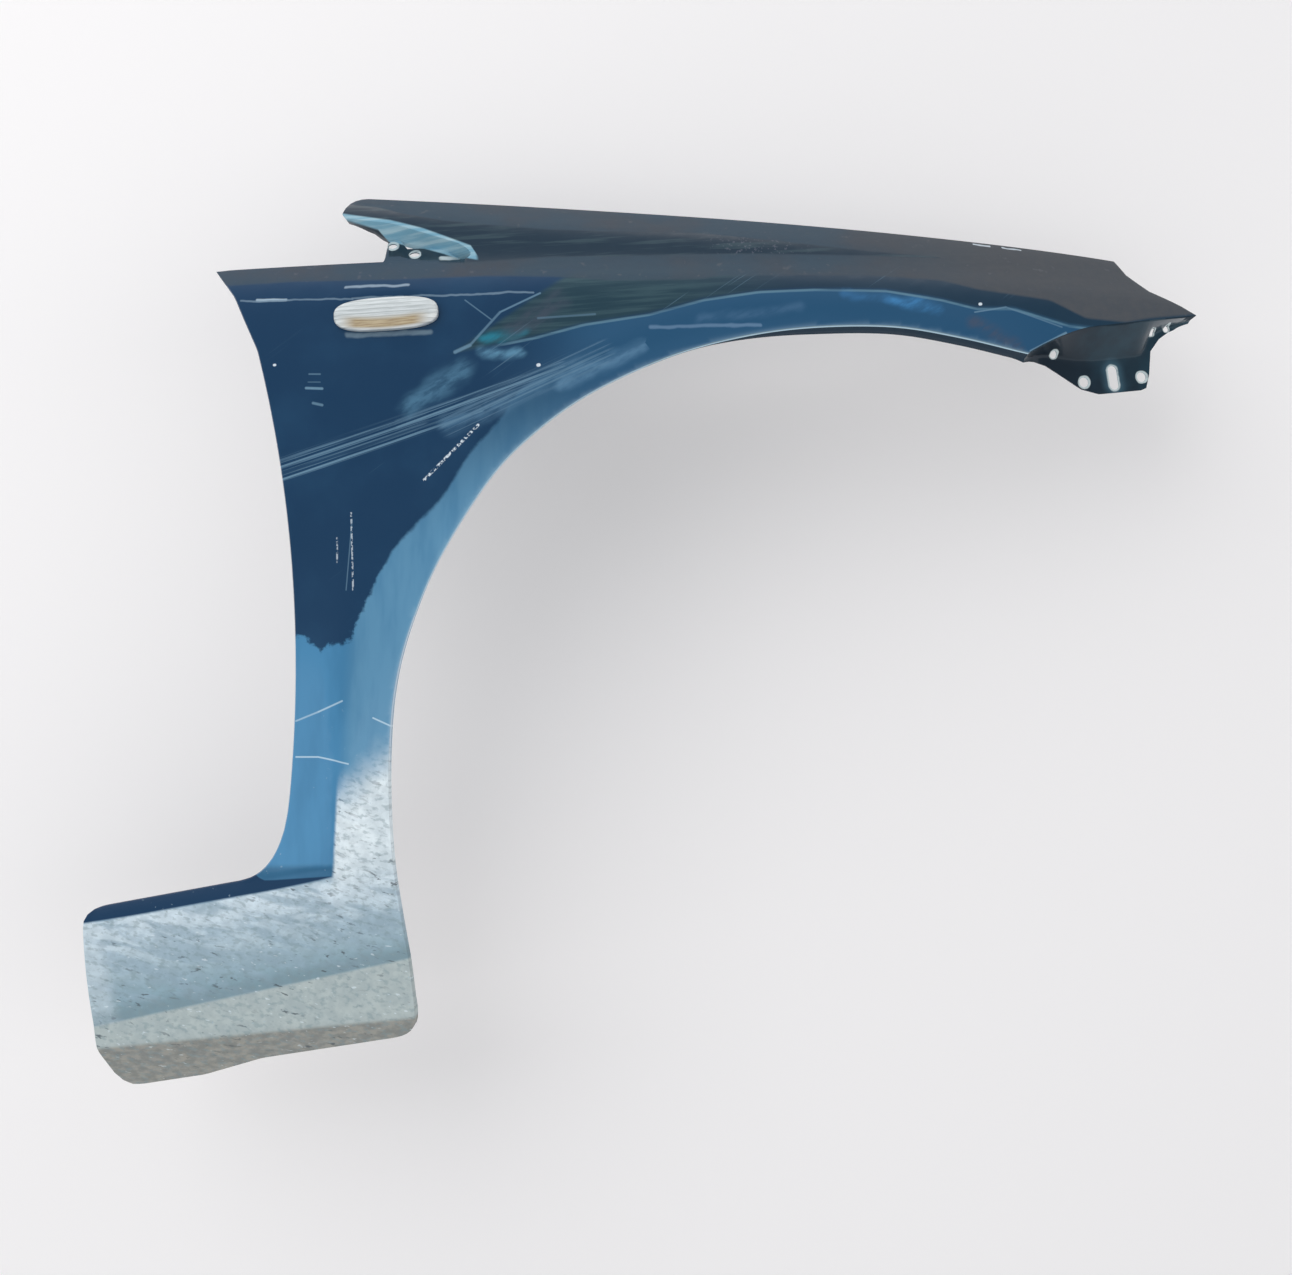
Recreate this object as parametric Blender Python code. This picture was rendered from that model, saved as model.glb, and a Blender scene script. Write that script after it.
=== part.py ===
"""Right-hand front car fender with its side repeater lamp.

The fender is one pressed steel sheet: a skin whose depth follows a form function,
trimmed by an outline, with flanges folded inboard from every edge. The lamp is made
of separate pieces seated in the skin.
Axes: +X forward, +Y inboard (the painted side faces -Y), +Z up. Metres.
Sizes are written from a datum in the wheel opening; the finished model is moved so
that the world origin is the seat of the hood rail flange.
"""

import math

import bpy
import numpy as np
from mathutils import Matrix, Vector
from mathutils.geometry import delaunay_2d_cdt

# Sheet
SHEET = 0.0008
FOLD = 0.0020
EDGE_SPACING = 0.0150
SKIN_SPACING = 0.0180
FEATURE_GAP = 0.0060
BEND_ROW_shares = (-1.3, 0.0, 1.3)
SHARP_BEND = math.radians(14)
GRID_MARGIN_share = 0.55
MERGE_DISTANCE = 0.0000001
SLIVER_share = 0.0001

# Wheel arch: points of the lip from its front end over the crown and down the leg
ARCH_POINTS = (
    (0.3512, 0.1766),
    (0.2980, 0.1980),
    (0.2427, 0.2157),
    (0.1755, 0.2256),
    (0.1160, 0.2268),
    (0.0553, 0.2199),
    (-0.0122, 0.2010),
    (-0.0650, 0.1748),
    (-0.1050, 0.1443),
    (-0.1529, 0.0906),
    (-0.1854, 0.0393),
    (-0.2049, -0.0047),
    (-0.2171, -0.0501),
    (-0.2254, -0.0960),
    (-0.2310, -0.1431),
    (-0.2330, -0.1912),
    (-0.2336, -0.2380),
    (-0.2345, -0.2620),
)
SILL_FORM_X = -0.2150
SILL_FORM_TOP = -0.1450

# Wheel arch flare: the raised band round the arch
FLARE_CENTRE = (0.120, -0.124)
FLARE_RADIUS = 0.386
FLARE_LEG_HEIGHT = -0.060
FLARE_LEG_SLOPE_share = 0.233
FLARE_LEG_RAISE = 0.0085
FLARE_CROWN_RAISE = 0.0030
FLARE_LEG_EDGE = 0.0030
FLARE_CROWN_EDGE = 0.0150
FLARE_FADE_HEIGHT = 0.170
FLARE_TUCK_RADIUS = 0.260
FLARE_LINE_FIRST = math.radians(172)
FLARE_LINE_LAST = math.radians(40)

# Door edge
DOOR_EDGE_X = -0.2848
DOOR_EDGE_PITCH_share = 0.2050
DOOR_EDGE_RADIUS = 0.990
DOOR_FOOT_TOP = -0.0750
DOOR_FOOT_CORNER = (-0.3200, -0.1376)
DOOR_FOOT_END = (-0.3570, -0.1372)
DOOR_HEAD_LOW = 0.282
DOOR_HEAD_POINTS = ((-0.2737, 0.3079), (-0.2785, 0.3280), (-0.2850, 0.3409))

# Sill extension
SILL_TOP_REAR = (-0.4680, -0.1378)
SILL_REAR_TOP = (-0.4842, -0.1520)
SILL_REAR_CORNER = (-0.4825, -0.1385)
SILL_REAR_MIDDLE = (-0.4940, -0.2080)
SILL_REAR_FOOT = (-0.4925, -0.2640)
SILL_FOOT_CORNER = (-0.4945, -0.2930)
SILL_HEEL = (-0.4780, -0.2925)
SILL_FOOT_REAR = (-0.4230, -0.2925)
SILL_FOOT_MIDDLE = (-0.3700, -0.2842)
SILL_FOOT_FRONT = (-0.2600, -0.2842)
SILL_TOE_CORNER = (-0.2370, -0.2850)
SILL_STEP_REAR = (-0.4940, -0.2318)
SILL_STEP_FRONT = (-0.2340, -0.2214)
SILL_TURN_REAR = (-0.4880, -0.2500)
SILL_TURN_FRONT = (-0.2380, -0.2680)
SILL_SOFT = 0.0035
SILL_TUCK_share = 0.05
SILL_LIP_share = 0.34
SILL_TURN_share = 1.05
SILL_LEDGE_REAR = (-0.3500, -0.1425)
SILL_LEDGE_PITCH_share = 0.02
SILL_LEDGE_EDGE = 0.0035

# Shoulder, arm and crest lines, each a height at the datum, a pitch and a radius
SHOULDER_LOW = (0.2964, 7.79)
SHOULDER_LOW_PITCH_share = 0.1657
SHOULDER_TOP = (0.3162, 7.12)
SHOULDER_TOP_PITCH_share = 0.1622
SHOULDER_CREASE = (0.2860, 40.0)
SHOULDER_CREASE_PITCH_share = 0.1397
CREST = (0.3680, 7.48)
CREST_PITCH_share = 0.2297
ARM_BAND_HEIGHT = 0.0265
ARM_BAND_PEAK_X = 0.060
ARM_BAND_RADIUS = 3.0

# Depth of the skin inboard
PLAN_START_X = -0.150
PLAN_RADIUS = 2.85
NOSE_START_X = 0.350
NOSE_RADIUS = 0.90
CROWN_HEIGHT = 0.080
CROWN_RADIUS = 3.4
SHOULDER_SLOPE_share = 1.10
CREASE_SLOPE_share = 0.10
VALLEY_SLOPE_share = -0.95
ARM_SLOPE_share = 1.15
SHOULDER_SOFT = 0.0060
CREASE_SOFT = 0.0040
VALLEY_SOFT = 0.0050
ARM_SOFT = 0.0060
VALLEY_FADE_START_X = 0.100
VALLEY_FADE_END_X = 0.400
VALLEY_FRONT_share = 0.30

# Nose, bumper edge and arm end
CREST_FRONT_X = 0.4550
NOSE_STEP = (0.4595, 0.2345)
NOSE_SHOULDER = (0.4735, 0.2155)
NOSE_TIP = (0.5095, 0.1890)
BUMPER_EDGE_MIDDLE = (0.4480, 0.1900)
BUMPER_EDGE_REAR = (0.4080, 0.1908)
BUMPER_EDGE_BEND = (0.3800, 0.1880)
ARM_TIP_TOP_X = -0.1664
ARM_TIP_CORNER = (-0.1805, 0.4065)
ARM_TIP_END = (-0.1867, 0.3900)

# Quarter window notch
SHOULDER_CORNER = (-0.2940, 0.3554)
NOTCH_FLOOR_END_X = -0.0940
NOTCH_END_BEND = (-0.0790, 0.3335)
NOTCH_ROOF_END = (-0.0957, 0.3463)
NOTCH_ROOF_MIDDLE = (-0.1478, 0.3738)
NOTCH_ROOF_REAR = (-0.1835, 0.3845)

# Flanges
LIP_FLANGE_LEG = 0.0170
LIP_FLANGE_REAR = 0.0080
LIP_FLANGE_FRONT = 0.0210
LIP_FLANGE_DROP = 0.0035
LIP_LEG_X = -0.2150
LIP_REAR_X = -0.1500
LIP_CROWN_X = 0.0600
LIP_FRONT_X = 0.2000
DOOR_FLANGE = 0.014
SILL_TOP_FLANGE = 0.016
SILL_REAR_FLANGE = 0.013
SILL_FOOT_FLANGE = 0.024
LAMP_EDGE_FLANGE = 0.016
LAMP_EDGE_DROP = 0.004
ARM_END_FLANGE = 0.012
RAIL_WALL = 0.026
RAIL_WALL_LEAN = 0.005
RAIL_FLANGE = 0.027
RAIL_NODES_X = (-0.150, 0.060, 0.270, 0.460)
NOTCH_ROOF_DROP = 0.0030
NOTCH_ROOF_FLANGE = 0.007
NOTCH_CUSP_REAR_X = -0.1720
NOTCH_CUSP_FRONT_X = -0.1540
NOTCH_ROOF_END_DROP = 0.0115
NOTCH_ROOF_END_FLANGE = 0.019
NOTCH_ROOF_BEND_share = 0.6
NOTCH_FLOOR_FLANGE = 0.010
NOTCH_WEB_REACH = 0.026
NOTCH_WEB_RISE = 0.022
NOTCH_WEB_REAR_X = -0.1585
NOTCH_TAB_FRONT_X = -0.1430
NOTCH_WEB_LOW_share = 0.62
NOTCH_WEB_BEND_share = 0.3
NOTCH_WEB_BEND_RISE_share = 0.2
BUMPER_WALL_DROP = 0.026
BUMPER_WALL_share = 0.45
BUMPER_FLANGE_Y = 0.092
BUMPER_FLANGE_X = 0.430
BUMPER_FLANGE_PITCH_share = 0.34
BUMPER_FOOT_POINTS = (
    (0.3512, 0.1735),
    (0.3657, 0.1700),
    (0.3821, 0.1568),
    (0.3987, 0.1428),
    (0.4148, 0.1364),
    (0.4580, 0.1347),
    (0.4635, 0.1400),
    (0.4665, 0.1640),
    (0.4797, 0.1765),
    (0.4919, 0.1821),
    (0.5095, 0.1860),
)

# Holes
RAIL_HOLE_RADIUS = 0.0045
RAIL_HOLES_X = (-0.110, 0.010, 0.230, 0.395)
RAIL_SLOT_X = 0.105
RAIL_SLOT_HALF = 0.005
RAIL_HOLE_IN_share = 0.55
BUMPER_HOLE_RADIUS = 0.0042
BUMPER_HOLES = ((0.4024, 0.1483), (0.4565, 0.1459))
BUMPER_SLOT = (0.4302, 0.1487)
BUMPER_SLOT_HALF = 0.0060
BUMPER_CORNER_HOLE = (0.3785, 0.1745)
BUMPER_CORNER_HOLE_RADIUS = 0.0028
BUMPER_SMALL_HOLES = ((0.4720, 0.1820), (0.4874, 0.1838))
BUMPER_SMALL_HOLE_RADIUS = 0.0024
TAB_HOLE = (-0.1505, 0.3560)
TAB_HOLE_RADIUS = 0.0036
WEB_HOLE = (-0.1330, 0.3440)
WEB_HOLE_RADIUS = 0.0042
SILL_HOLE_RADIUS = 0.0045
SILL_HOLES_X = (-0.455, -0.300)
SILL_HOLE_IN_share = 0.55
CUT_HALF = 0.012
ROUND_STEPS = 14

# Mounts
RAIL_MOUNT_X = 0.165
RAIL_MOUNT_IN_share = 0.55

# Side repeater lamp, sizes along its own length, height and depth
LAMP_CENTRE = (-0.1602, 0.2916)
LAMP_TILT = math.radians(-6.1)
LENS_LENGTH = 0.084
LENS_HEIGHT = 0.0265
LENS_DOME = 0.0085
LENS_WALL = 0.0018
LENS_RIM = 0.0038
LENS_POWER_share = 2.9
GASKET_THICKNESS = 0.0010
GASKET_MARGIN = 0.0006
SEAT_MARGIN = 0.006
SEAT_FADE = 0.010
PIECE_GAP = 0.0003
LAMP_HOLE_LENGTH = 0.068
LAMP_HOLE_HEIGHT = 0.0175
LAMP_HOLE_CLEARANCE = 0.0006
HOUSING_DEPTH = 0.020
HOUSING_WALL = 0.0016
HOUSING_FLANGE = 0.0012
NECK_RADIUS = 0.0080
NECK_LENGTH = 0.010
HOLDER_RADIUS = 0.0105
HOLDER_LENGTH = 0.014
HOLDER_PLUG_RADIUS = 0.0058
BULB_RADIUS = 0.0045
BULB_LENGTH = 0.015
BULB_BASE = 0.0030
SEAL_THICKNESS = 0.0016
CONNECTOR_WALL = 0.0014
CONNECTOR_DEPTH = 0.011
TERMINAL_WIDTH = 0.0028
TERMINAL_THICKNESS = 0.0008
TERMINAL_LENGTH = 0.009
TERMINAL_PITCH = 0.0056
CLIP_WIDTH = 0.010
CLIP_THICKNESS = 0.0008
CLIP_LENGTH = 0.014
CLIP_LEG = 0.006
CLIP_BEND = 0.0022
LAMP_STEPS = 28
LENS_RING_shares = (0.0, 0.3, 0.6, 0.85)
LENS_CROWN_share = 0.85
BULB_RING_shares = (0.0, 0.35, 0.65, 0.9)
BULB_NECK_share = 0.75
HOUSING_FOOT_share = 0.62
HOLDER_BODY_share = 0.85
CONNECTOR_share = 0.72


def material(name, colour, roughness, metallic, alpha=1.0):
    result = bpy.data.materials.new(name)
    result.use_nodes = True
    shader = result.node_tree.nodes["Principled BSDF"]
    shader.inputs["Base Color"].default_value = (*colour, 1.0)
    shader.inputs["Roughness"].default_value = roughness
    shader.inputs["Metallic"].default_value = metallic
    shader.inputs["Alpha"].default_value = alpha
    return result


# Helpers for curves


def bezier(start, corner, end, steps=8):
    """A round corner: a quadratic curve from start to end, pulled to corner."""
    t = np.linspace(0, 1, steps + 1)[:, None]
    start, corner, end = (np.array(p) for p in (start, corner, end))
    return (1 - t) ** 2 * start + 2 * t * (1 - t) * corner + t**2 * end


def smooth(points, steps=6):
    """A smooth curve through all the points, with its ends at the first and last."""
    points = np.array(points)
    before = np.vstack([2 * points[0] - points[1], points[:-2]])
    start = points[:-1]
    end = points[1:]
    after = np.vstack([points[2:], 2 * points[-1] - points[-2]])
    line = []
    for a, b, c, d in zip(before, start, end, after):
        for t in np.arange(steps) / steps:
            blend = (2 * b) + (c - a) * t + (2 * a - 5 * b + 4 * c - d) * t**2 + (3 * b - a - 3 * c + d) * t**3
            line.append(blend / 2)
    return np.vstack([line, end[-1:]])


def arc(centre, radius, first, last, steps=60):
    a = np.linspace(first, last, steps)
    return np.column_stack([centre[0] + radius * np.cos(a), centre[1] + radius * np.sin(a)])


def line_height(x, line, pitch_share):
    """Height of one of the long lines: level at the datum, pitched and bowed."""
    return line[0] - pitch_share * x - x * x / (2 * line[1])


def crest_height(x):
    return line_height(x, CREST, CREST_PITCH_share)


def shoulder_top_height(x):
    return line_height(x, SHOULDER_TOP, SHOULDER_TOP_PITCH_share)


def shoulder_low_height(x):
    return line_height(x, SHOULDER_LOW, SHOULDER_LOW_PITCH_share)


def shoulder_crease_height(x):
    return line_height(x, SHOULDER_CREASE, SHOULDER_CREASE_PITCH_share)


def arm_height(x):
    return crest_height(x) - ARM_BAND_HEIGHT + (x - ARM_BAND_PEAK_X) ** 2 / (2 * ARM_BAND_RADIUS)


def line_at(x, rear, front):
    """Height at x of the straight line through two points."""
    return rear[1] + (x - rear[0]) * (front[1] - rear[1]) / (front[0] - rear[0])


def ramp(t, soft):
    """Zero before a crease and t after it, rounded over soft."""
    return (t + np.sqrt(t * t + soft * soft)) / 2


def inside(t, soft):
    """One where t is well below zero, nothing where it is well above."""
    return (1 - t / np.sqrt(t * t + soft * soft)) / 2


def fade(t, start, end):
    s = np.clip((t - start) / (end - start), 0, 1)
    return s * s * (3 - 2 * s)


# Form of the skin: depth inboard at a point of the side view


def flare_distance(x, z):
    """Distance outside the flare's crease; negative inside the raised band."""
    round_part = np.hypot(x - FLARE_CENTRE[0], z - FLARE_CENTRE[1]) - FLARE_RADIUS
    drop = FLARE_LEG_HEIGHT - FLARE_CENTRE[1]
    leg_x = FLARE_CENTRE[0] - math.sqrt(FLARE_RADIUS**2 - drop**2)
    leg_part = leg_x + (z - FLARE_LEG_HEIGHT) * FLARE_LEG_SLOPE_share - x
    return np.where((z < FLARE_LEG_HEIGHT) & (x < 0), leg_part, round_part)


def ledge_height(x):
    """Height of the middle of the sill ledge's slope."""
    return SILL_LEDGE_REAR[1] - SILL_LEDGE_PITCH_share * (x - SILL_LEDGE_REAR[0])


def form_depth(x, z):
    """Depth of the skin before the lamp's seat is pressed flat."""
    x = np.asarray(x, float)
    z = np.asarray(z, float)
    y = np.maximum(x - PLAN_START_X, 0) ** 2 / (2 * PLAN_RADIUS)
    y = y + np.maximum(x - NOSE_START_X, 0) ** 2 / (2 * NOSE_RADIUS)
    y = y + (z - CROWN_HEIGHT) ** 2 / (2 * CROWN_RADIUS)
    flare = flare_distance(x, z)
    up = fade(z, SILL_LEDGE_REAR[1], FLARE_FADE_HEIGHT)
    raised = FLARE_LEG_RAISE * (1 - up) + FLARE_CROWN_RAISE * up
    soft = FLARE_LEG_EDGE * (1 - up) + FLARE_CROWN_EDGE * up
    flare_share = inside(flare, soft)
    sill_share = inside(z - ledge_height(x), SILL_LEDGE_EDGE) * (x < 0)
    y = y - raised * np.maximum(flare_share, sill_share)
    y = y + up * np.minimum(flare, 0) ** 2 / (2 * FLARE_TUCK_RADIUS)
    rear_share = 1 - fade(x, 0, NOSE_START_X)
    y = y + CREASE_SLOPE_share * rear_share * ramp(z - shoulder_crease_height(x), CREASE_SOFT)
    valley = 1 - (1 - VALLEY_FRONT_share) * fade(x, VALLEY_FADE_START_X, VALLEY_FADE_END_X)
    y = y + SHOULDER_SLOPE_share * ramp(z - shoulder_low_height(x), SHOULDER_SOFT)
    y = y + VALLEY_SLOPE_share * valley * ramp(z - shoulder_top_height(x), VALLEY_SOFT)
    y = y + ARM_SLOPE_share * valley * ramp(z - arm_height(x), ARM_SOFT)
    sill = (x < SILL_FORM_X) & (z < SILL_FORM_TOP)
    down = line_at(x, SILL_STEP_REAR, SILL_STEP_FRONT) - z
    turn = line_at(x, SILL_TURN_REAR, SILL_TURN_FRONT) - z
    tuck = SILL_TUCK_share * np.maximum(ledge_height(x) - z, 0) - SILL_LIP_share * ramp(down, SILL_SOFT)
    tuck = tuck + (SILL_TURN_share + SILL_LIP_share) * ramp(turn, SILL_SOFT)
    return y + np.where(sill, tuck, 0)


def seat_slopes():
    """Slopes of the skin along X and Z at the lamp's centre."""
    x, z = LAMP_CENTRE
    slope_x = float(form_depth(x + SEAT_FADE, z) - form_depth(x - SEAT_FADE, z)) / (2 * SEAT_FADE)
    slope_z = float(form_depth(x, z + SEAT_FADE) - form_depth(x, z - SEAT_FADE)) / (2 * SEAT_FADE)
    return slope_x, slope_z


def seat_radius(x, z):
    """One on the edge of the lamp's flat seat, less within it."""
    dx = x - LAMP_CENTRE[0]
    dz = z - LAMP_CENTRE[1]
    u = dx * math.cos(LAMP_TILT) + dz * math.sin(LAMP_TILT)
    v = dz * math.cos(LAMP_TILT) - dx * math.sin(LAMP_TILT)
    power = LENS_POWER_share
    length_part = (abs(u) / (LENS_LENGTH / 2 + SEAT_MARGIN)) ** power
    height_part = (abs(v) / (LENS_HEIGHT / 2 + SEAT_MARGIN)) ** power
    return (length_part + height_part) ** (1 / power)


def depth(x, z):
    """Depth inboard of the finished skin, with the lamp's seat pressed flat."""
    x = np.asarray(x, float)
    z = np.asarray(z, float)
    y = form_depth(x, z)
    slope_x, slope_z = seat_slopes()
    flat = float(form_depth(*LAMP_CENTRE)) + slope_x * (x - LAMP_CENTRE[0]) + slope_z * (z - LAMP_CENTRE[1])
    seated = 1 - fade(seat_radius(x, z), 1, 1 + SEAT_FADE / LENS_HEIGHT)
    return y + (flat - y) * seated


# Outline of the skin in the side view, clockwise, as named stretches


def crest_line():
    x = np.linspace(ARM_TIP_TOP_X, CREST_FRONT_X, 60)
    return np.column_stack([x, crest_height(x)])


def lamp_edge_line():
    top = (CREST_FRONT_X, float(crest_height(CREST_FRONT_X)))
    return np.array([top, NOSE_STEP, NOSE_SHOULDER, NOSE_TIP])


def bumper_edge_line():
    rear = bezier(BUMPER_EDGE_REAR, BUMPER_EDGE_BEND, ARCH_POINTS[0])
    return np.vstack([[NOSE_TIP], [BUMPER_EDGE_MIDDLE], rear])


def arch_line():
    return smooth(ARCH_POINTS)


def sill_foot_line():
    toe = bezier(ARCH_POINTS[-1], SILL_TOE_CORNER, SILL_FOOT_FRONT)
    heel = bezier(SILL_HEEL, SILL_FOOT_CORNER, SILL_REAR_FOOT, 4)
    return np.vstack([toe, [SILL_FOOT_MIDDLE], [SILL_FOOT_REAR], heel])


def sill_rear_line():
    return bezier(SILL_REAR_FOOT, SILL_REAR_MIDDLE, SILL_REAR_TOP)


def sill_top_line():
    corner = bezier(SILL_REAR_TOP, SILL_REAR_CORNER, SILL_TOP_REAR, 4)
    return np.vstack([corner, [DOOR_FOOT_END]])


def door_edge_line():
    z = np.linspace(DOOR_FOOT_TOP, DOOR_HEAD_LOW, 40)
    x = DOOR_EDGE_X + DOOR_EDGE_PITCH_share * z - z * z / (2 * DOOR_EDGE_RADIUS)
    foot = bezier(DOOR_FOOT_END, DOOR_FOOT_CORNER, (x[0], z[0]))
    return np.vstack([foot, np.column_stack([x, z])[1:], DOOR_HEAD_POINTS, [SHOULDER_CORNER]])


def notch_floor_line():
    x = np.linspace(SHOULDER_CORNER[0], NOTCH_FLOOR_END_X, 30)
    lift = SHOULDER_CORNER[1] - float(shoulder_top_height(SHOULDER_CORNER[0]))
    share = (x - NOTCH_FLOOR_END_X) / (SHOULDER_CORNER[0] - NOTCH_FLOOR_END_X)
    return np.column_stack([x, shoulder_top_height(x) + lift * share])


def notch_roof_line():
    floor_end = (NOTCH_FLOOR_END_X, float(shoulder_top_height(NOTCH_FLOOR_END_X)))
    end = bezier(floor_end, NOTCH_END_BEND, NOTCH_ROOF_END, 6)
    return np.vstack([end, [NOTCH_ROOF_MIDDLE, NOTCH_ROOF_REAR]])


def arm_end_line():
    top = (ARM_TIP_TOP_X, float(crest_height(ARM_TIP_TOP_X)))
    end = bezier(ARM_TIP_END, ARM_TIP_CORNER, top, 5)
    return np.vstack([[NOTCH_ROOF_REAR], end])


STRETCHES = (
    ("crest", crest_line),
    ("lamp_edge", lamp_edge_line),
    ("bumper_edge", bumper_edge_line),
    ("arch", arch_line),
    ("sill_foot", sill_foot_line),
    ("sill_rear", sill_rear_line),
    ("sill_top", sill_top_line),
    ("door_edge", door_edge_line),
    ("notch_floor", notch_floor_line),
    ("notch_roof", notch_roof_line),
    ("arm_end", arm_end_line),
)


def respace(line, spacing):
    """The same line with points at an even spacing, keeping its ends and sharp bends."""
    line = np.asarray(line, float)
    steps = np.diff(line, axis=0)
    lengths = np.hypot(steps[:, 0], steps[:, 1])
    keep = lengths > SHEET
    line = np.vstack([line[:1], line[1:][keep]])
    steps = np.diff(line, axis=0)
    lengths = np.hypot(steps[:, 0], steps[:, 1])
    along = np.concatenate([[0], np.cumsum(lengths)])
    headings = np.unwrap(np.arctan2(steps[:, 1], steps[:, 0]))
    bends = [i + 1 for i in range(len(headings) - 1) if abs(headings[i + 1] - headings[i]) > SHARP_BEND]
    stops = [0, *bends, len(line) - 1]
    places = [0.0]
    for a, b in zip(stops, stops[1:]):
        count = max(1, round((along[b] - along[a]) / spacing))
        places.extend(np.linspace(along[a], along[b], count + 1)[1:])
    places = np.array(places)
    return np.column_stack([np.interp(places, along, line[:, 0]), np.interp(places, along, line[:, 1])])


def outline(spacing):
    """Points of the closed outline, with each point's stretch and outward direction."""
    points = []
    names = []
    for name, line in STRETCHES:
        stretch = respace(line(), spacing)[:-1]
        points.extend(stretch)
        names.extend([name] * len(stretch))
    points = np.array(points)
    ahead = np.roll(points, -1, axis=0) - points
    ahead /= np.linalg.norm(ahead, axis=1)[:, None]
    behind = np.roll(ahead, 1, axis=0)
    mean = ahead + behind
    mean /= np.linalg.norm(mean, axis=1)[:, None]
    normals = np.column_stack([-mean[:, 1], mean[:, 0]])
    return points, names, normals


# Flanges: for a point of the outline, three points further along the folded sheet


def rail_height(x):
    """Height of the hood rail flange: flat between its breaks."""
    nodes = np.array(RAIL_NODES_X)
    heights = crest_height(nodes) - RAIL_WALL
    slopes = np.diff(heights) / np.diff(nodes)
    i = int(np.clip(np.searchsorted(nodes, x) - 1, 0, len(slopes) - 1))
    return float(heights[i] + slopes[i] * (x - nodes[i]))


def bumper_flange_depth(x):
    return BUMPER_FLANGE_Y + BUMPER_FLANGE_PITCH_share * (x - BUMPER_FLANGE_X)


def bumper_foot_height(x):
    """Lower edge of the bumper flange."""
    xs, heights = np.array(BUMPER_FOOT_POINTS).T
    return float(np.interp(x, xs, heights))


def lip_flange_width(x):
    """The lip's flange is deep on the leg and at the front, and shallow between."""
    rear = fade(x, LIP_LEG_X, LIP_REAR_X)
    front = fade(x, LIP_CROWN_X, LIP_FRONT_X)
    low = LIP_FLANGE_LEG + (LIP_FLANGE_REAR - LIP_FLANGE_LEG) * rear
    return float(low + (LIP_FLANGE_FRONT - LIP_FLANGE_REAR) * front)


def returned(x, y, z, nx, nz, width, out=0.0):
    """A flange turned straight inboard by width, its end moved outward by out."""
    middle = (x + nx * (FOLD + out) / 2, y + width / 2, z + nz * (FOLD + out) / 2)
    return (
        (x + nx * FOLD / 2, y + FOLD, z + nz * FOLD / 2),
        middle,
        (x + nx * out, y + width, z + nz * out),
    )


def crest_flange(x, y, z, nx, nz):
    rail = rail_height(x)
    return (
        (x, y + FOLD, z + FOLD / 2),
        (x, y + FOLD + RAIL_WALL_LEAN, rail),
        (x, y + FOLD + RAIL_WALL_LEAN + RAIL_FLANGE, rail),
    )


def lamp_edge_flange(x, y, z, nx, nz):
    return returned(x, y, z, nx, nz, LAMP_EDGE_FLANGE, -LAMP_EDGE_DROP)


def bumper_flange(x, y, z, nx, nz):
    foot = min(bumper_foot_height(x), z - FOLD)
    fold = max(z - BUMPER_WALL_DROP, z - (z - foot) * BUMPER_WALL_share)
    plane = max(bumper_flange_depth(x), y + FOLD)
    return (
        (x, y + FOLD / 2, z - FOLD / 2),
        (x, plane, fold),
        (x, plane, foot),
    )


def arch_flange(x, y, z, nx, nz):
    drop = LIP_FLANGE_DROP * float(fade(x, LIP_CROWN_X, LIP_FRONT_X))
    return returned(x, y, z, nx, nz, lip_flange_width(x), drop)


def sill_foot_flange(x, y, z, nx, nz):
    return (
        (x, y + FOLD, z - FOLD / 2),
        (x, y + SILL_FOOT_FLANGE / 2, z - FOLD / 2),
        (x, y + SILL_FOOT_FLANGE, z - FOLD / 2),
    )


def sill_rear_flange(x, y, z, nx, nz):
    return returned(x, y, z, nx, nz, SILL_REAR_FLANGE)


def sill_top_flange(x, y, z, nx, nz):
    return returned(x, y, z, nx, nz, SILL_TOP_FLANGE)


def door_edge_flange(x, y, z, nx, nz):
    return returned(x, y, z, nx, nz, DOOR_FLANGE)


def notch_floor_flange(x, y, z, nx, nz):
    share = 1.0 if x <= NOTCH_TAB_FRONT_X else NOTCH_WEB_LOW_share
    share = share if x > NOTCH_WEB_REAR_X else 0.0
    reach = NOTCH_FLOOR_FLANGE + share * (NOTCH_WEB_REACH - NOTCH_FLOOR_FLANGE)
    rise = share * NOTCH_WEB_RISE
    return (
        (x, y + FOLD, z + FOLD / 2),
        (x, y + reach * NOTCH_WEB_BEND_share, z + FOLD / 2 + rise * NOTCH_WEB_BEND_RISE_share),
        (x, y + reach, z + FOLD / 2 + rise),
    )


def notch_roof_flange(x, y, z, nx, nz):
    share = float(fade(x, NOTCH_CUSP_REAR_X, NOTCH_CUSP_FRONT_X))
    drop = NOTCH_ROOF_DROP + share * (NOTCH_ROOF_END_DROP - NOTCH_ROOF_DROP)
    reach = NOTCH_ROOF_FLANGE + share * (NOTCH_ROOF_END_FLANGE - NOTCH_ROOF_FLANGE)
    return (
        (x, y + FOLD / 2, z - FOLD / 2),
        (x, y + reach * NOTCH_ROOF_BEND_share, z - drop),
        (x, y + reach, z - drop - FOLD),
    )


def arm_end_flange(x, y, z, nx, nz):
    return returned(x, y, z, nx, nz, ARM_END_FLANGE)


FLANGES = {
    "crest": crest_flange,
    "lamp_edge": lamp_edge_flange,
    "bumper_edge": bumper_flange,
    "arch": arch_flange,
    "sill_foot": sill_foot_flange,
    "sill_rear": sill_rear_flange,
    "sill_top": sill_top_flange,
    "door_edge": door_edge_flange,
    "notch_floor": notch_floor_flange,
    "notch_roof": notch_roof_flange,
    "arm_end": arm_end_flange,
}


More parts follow.
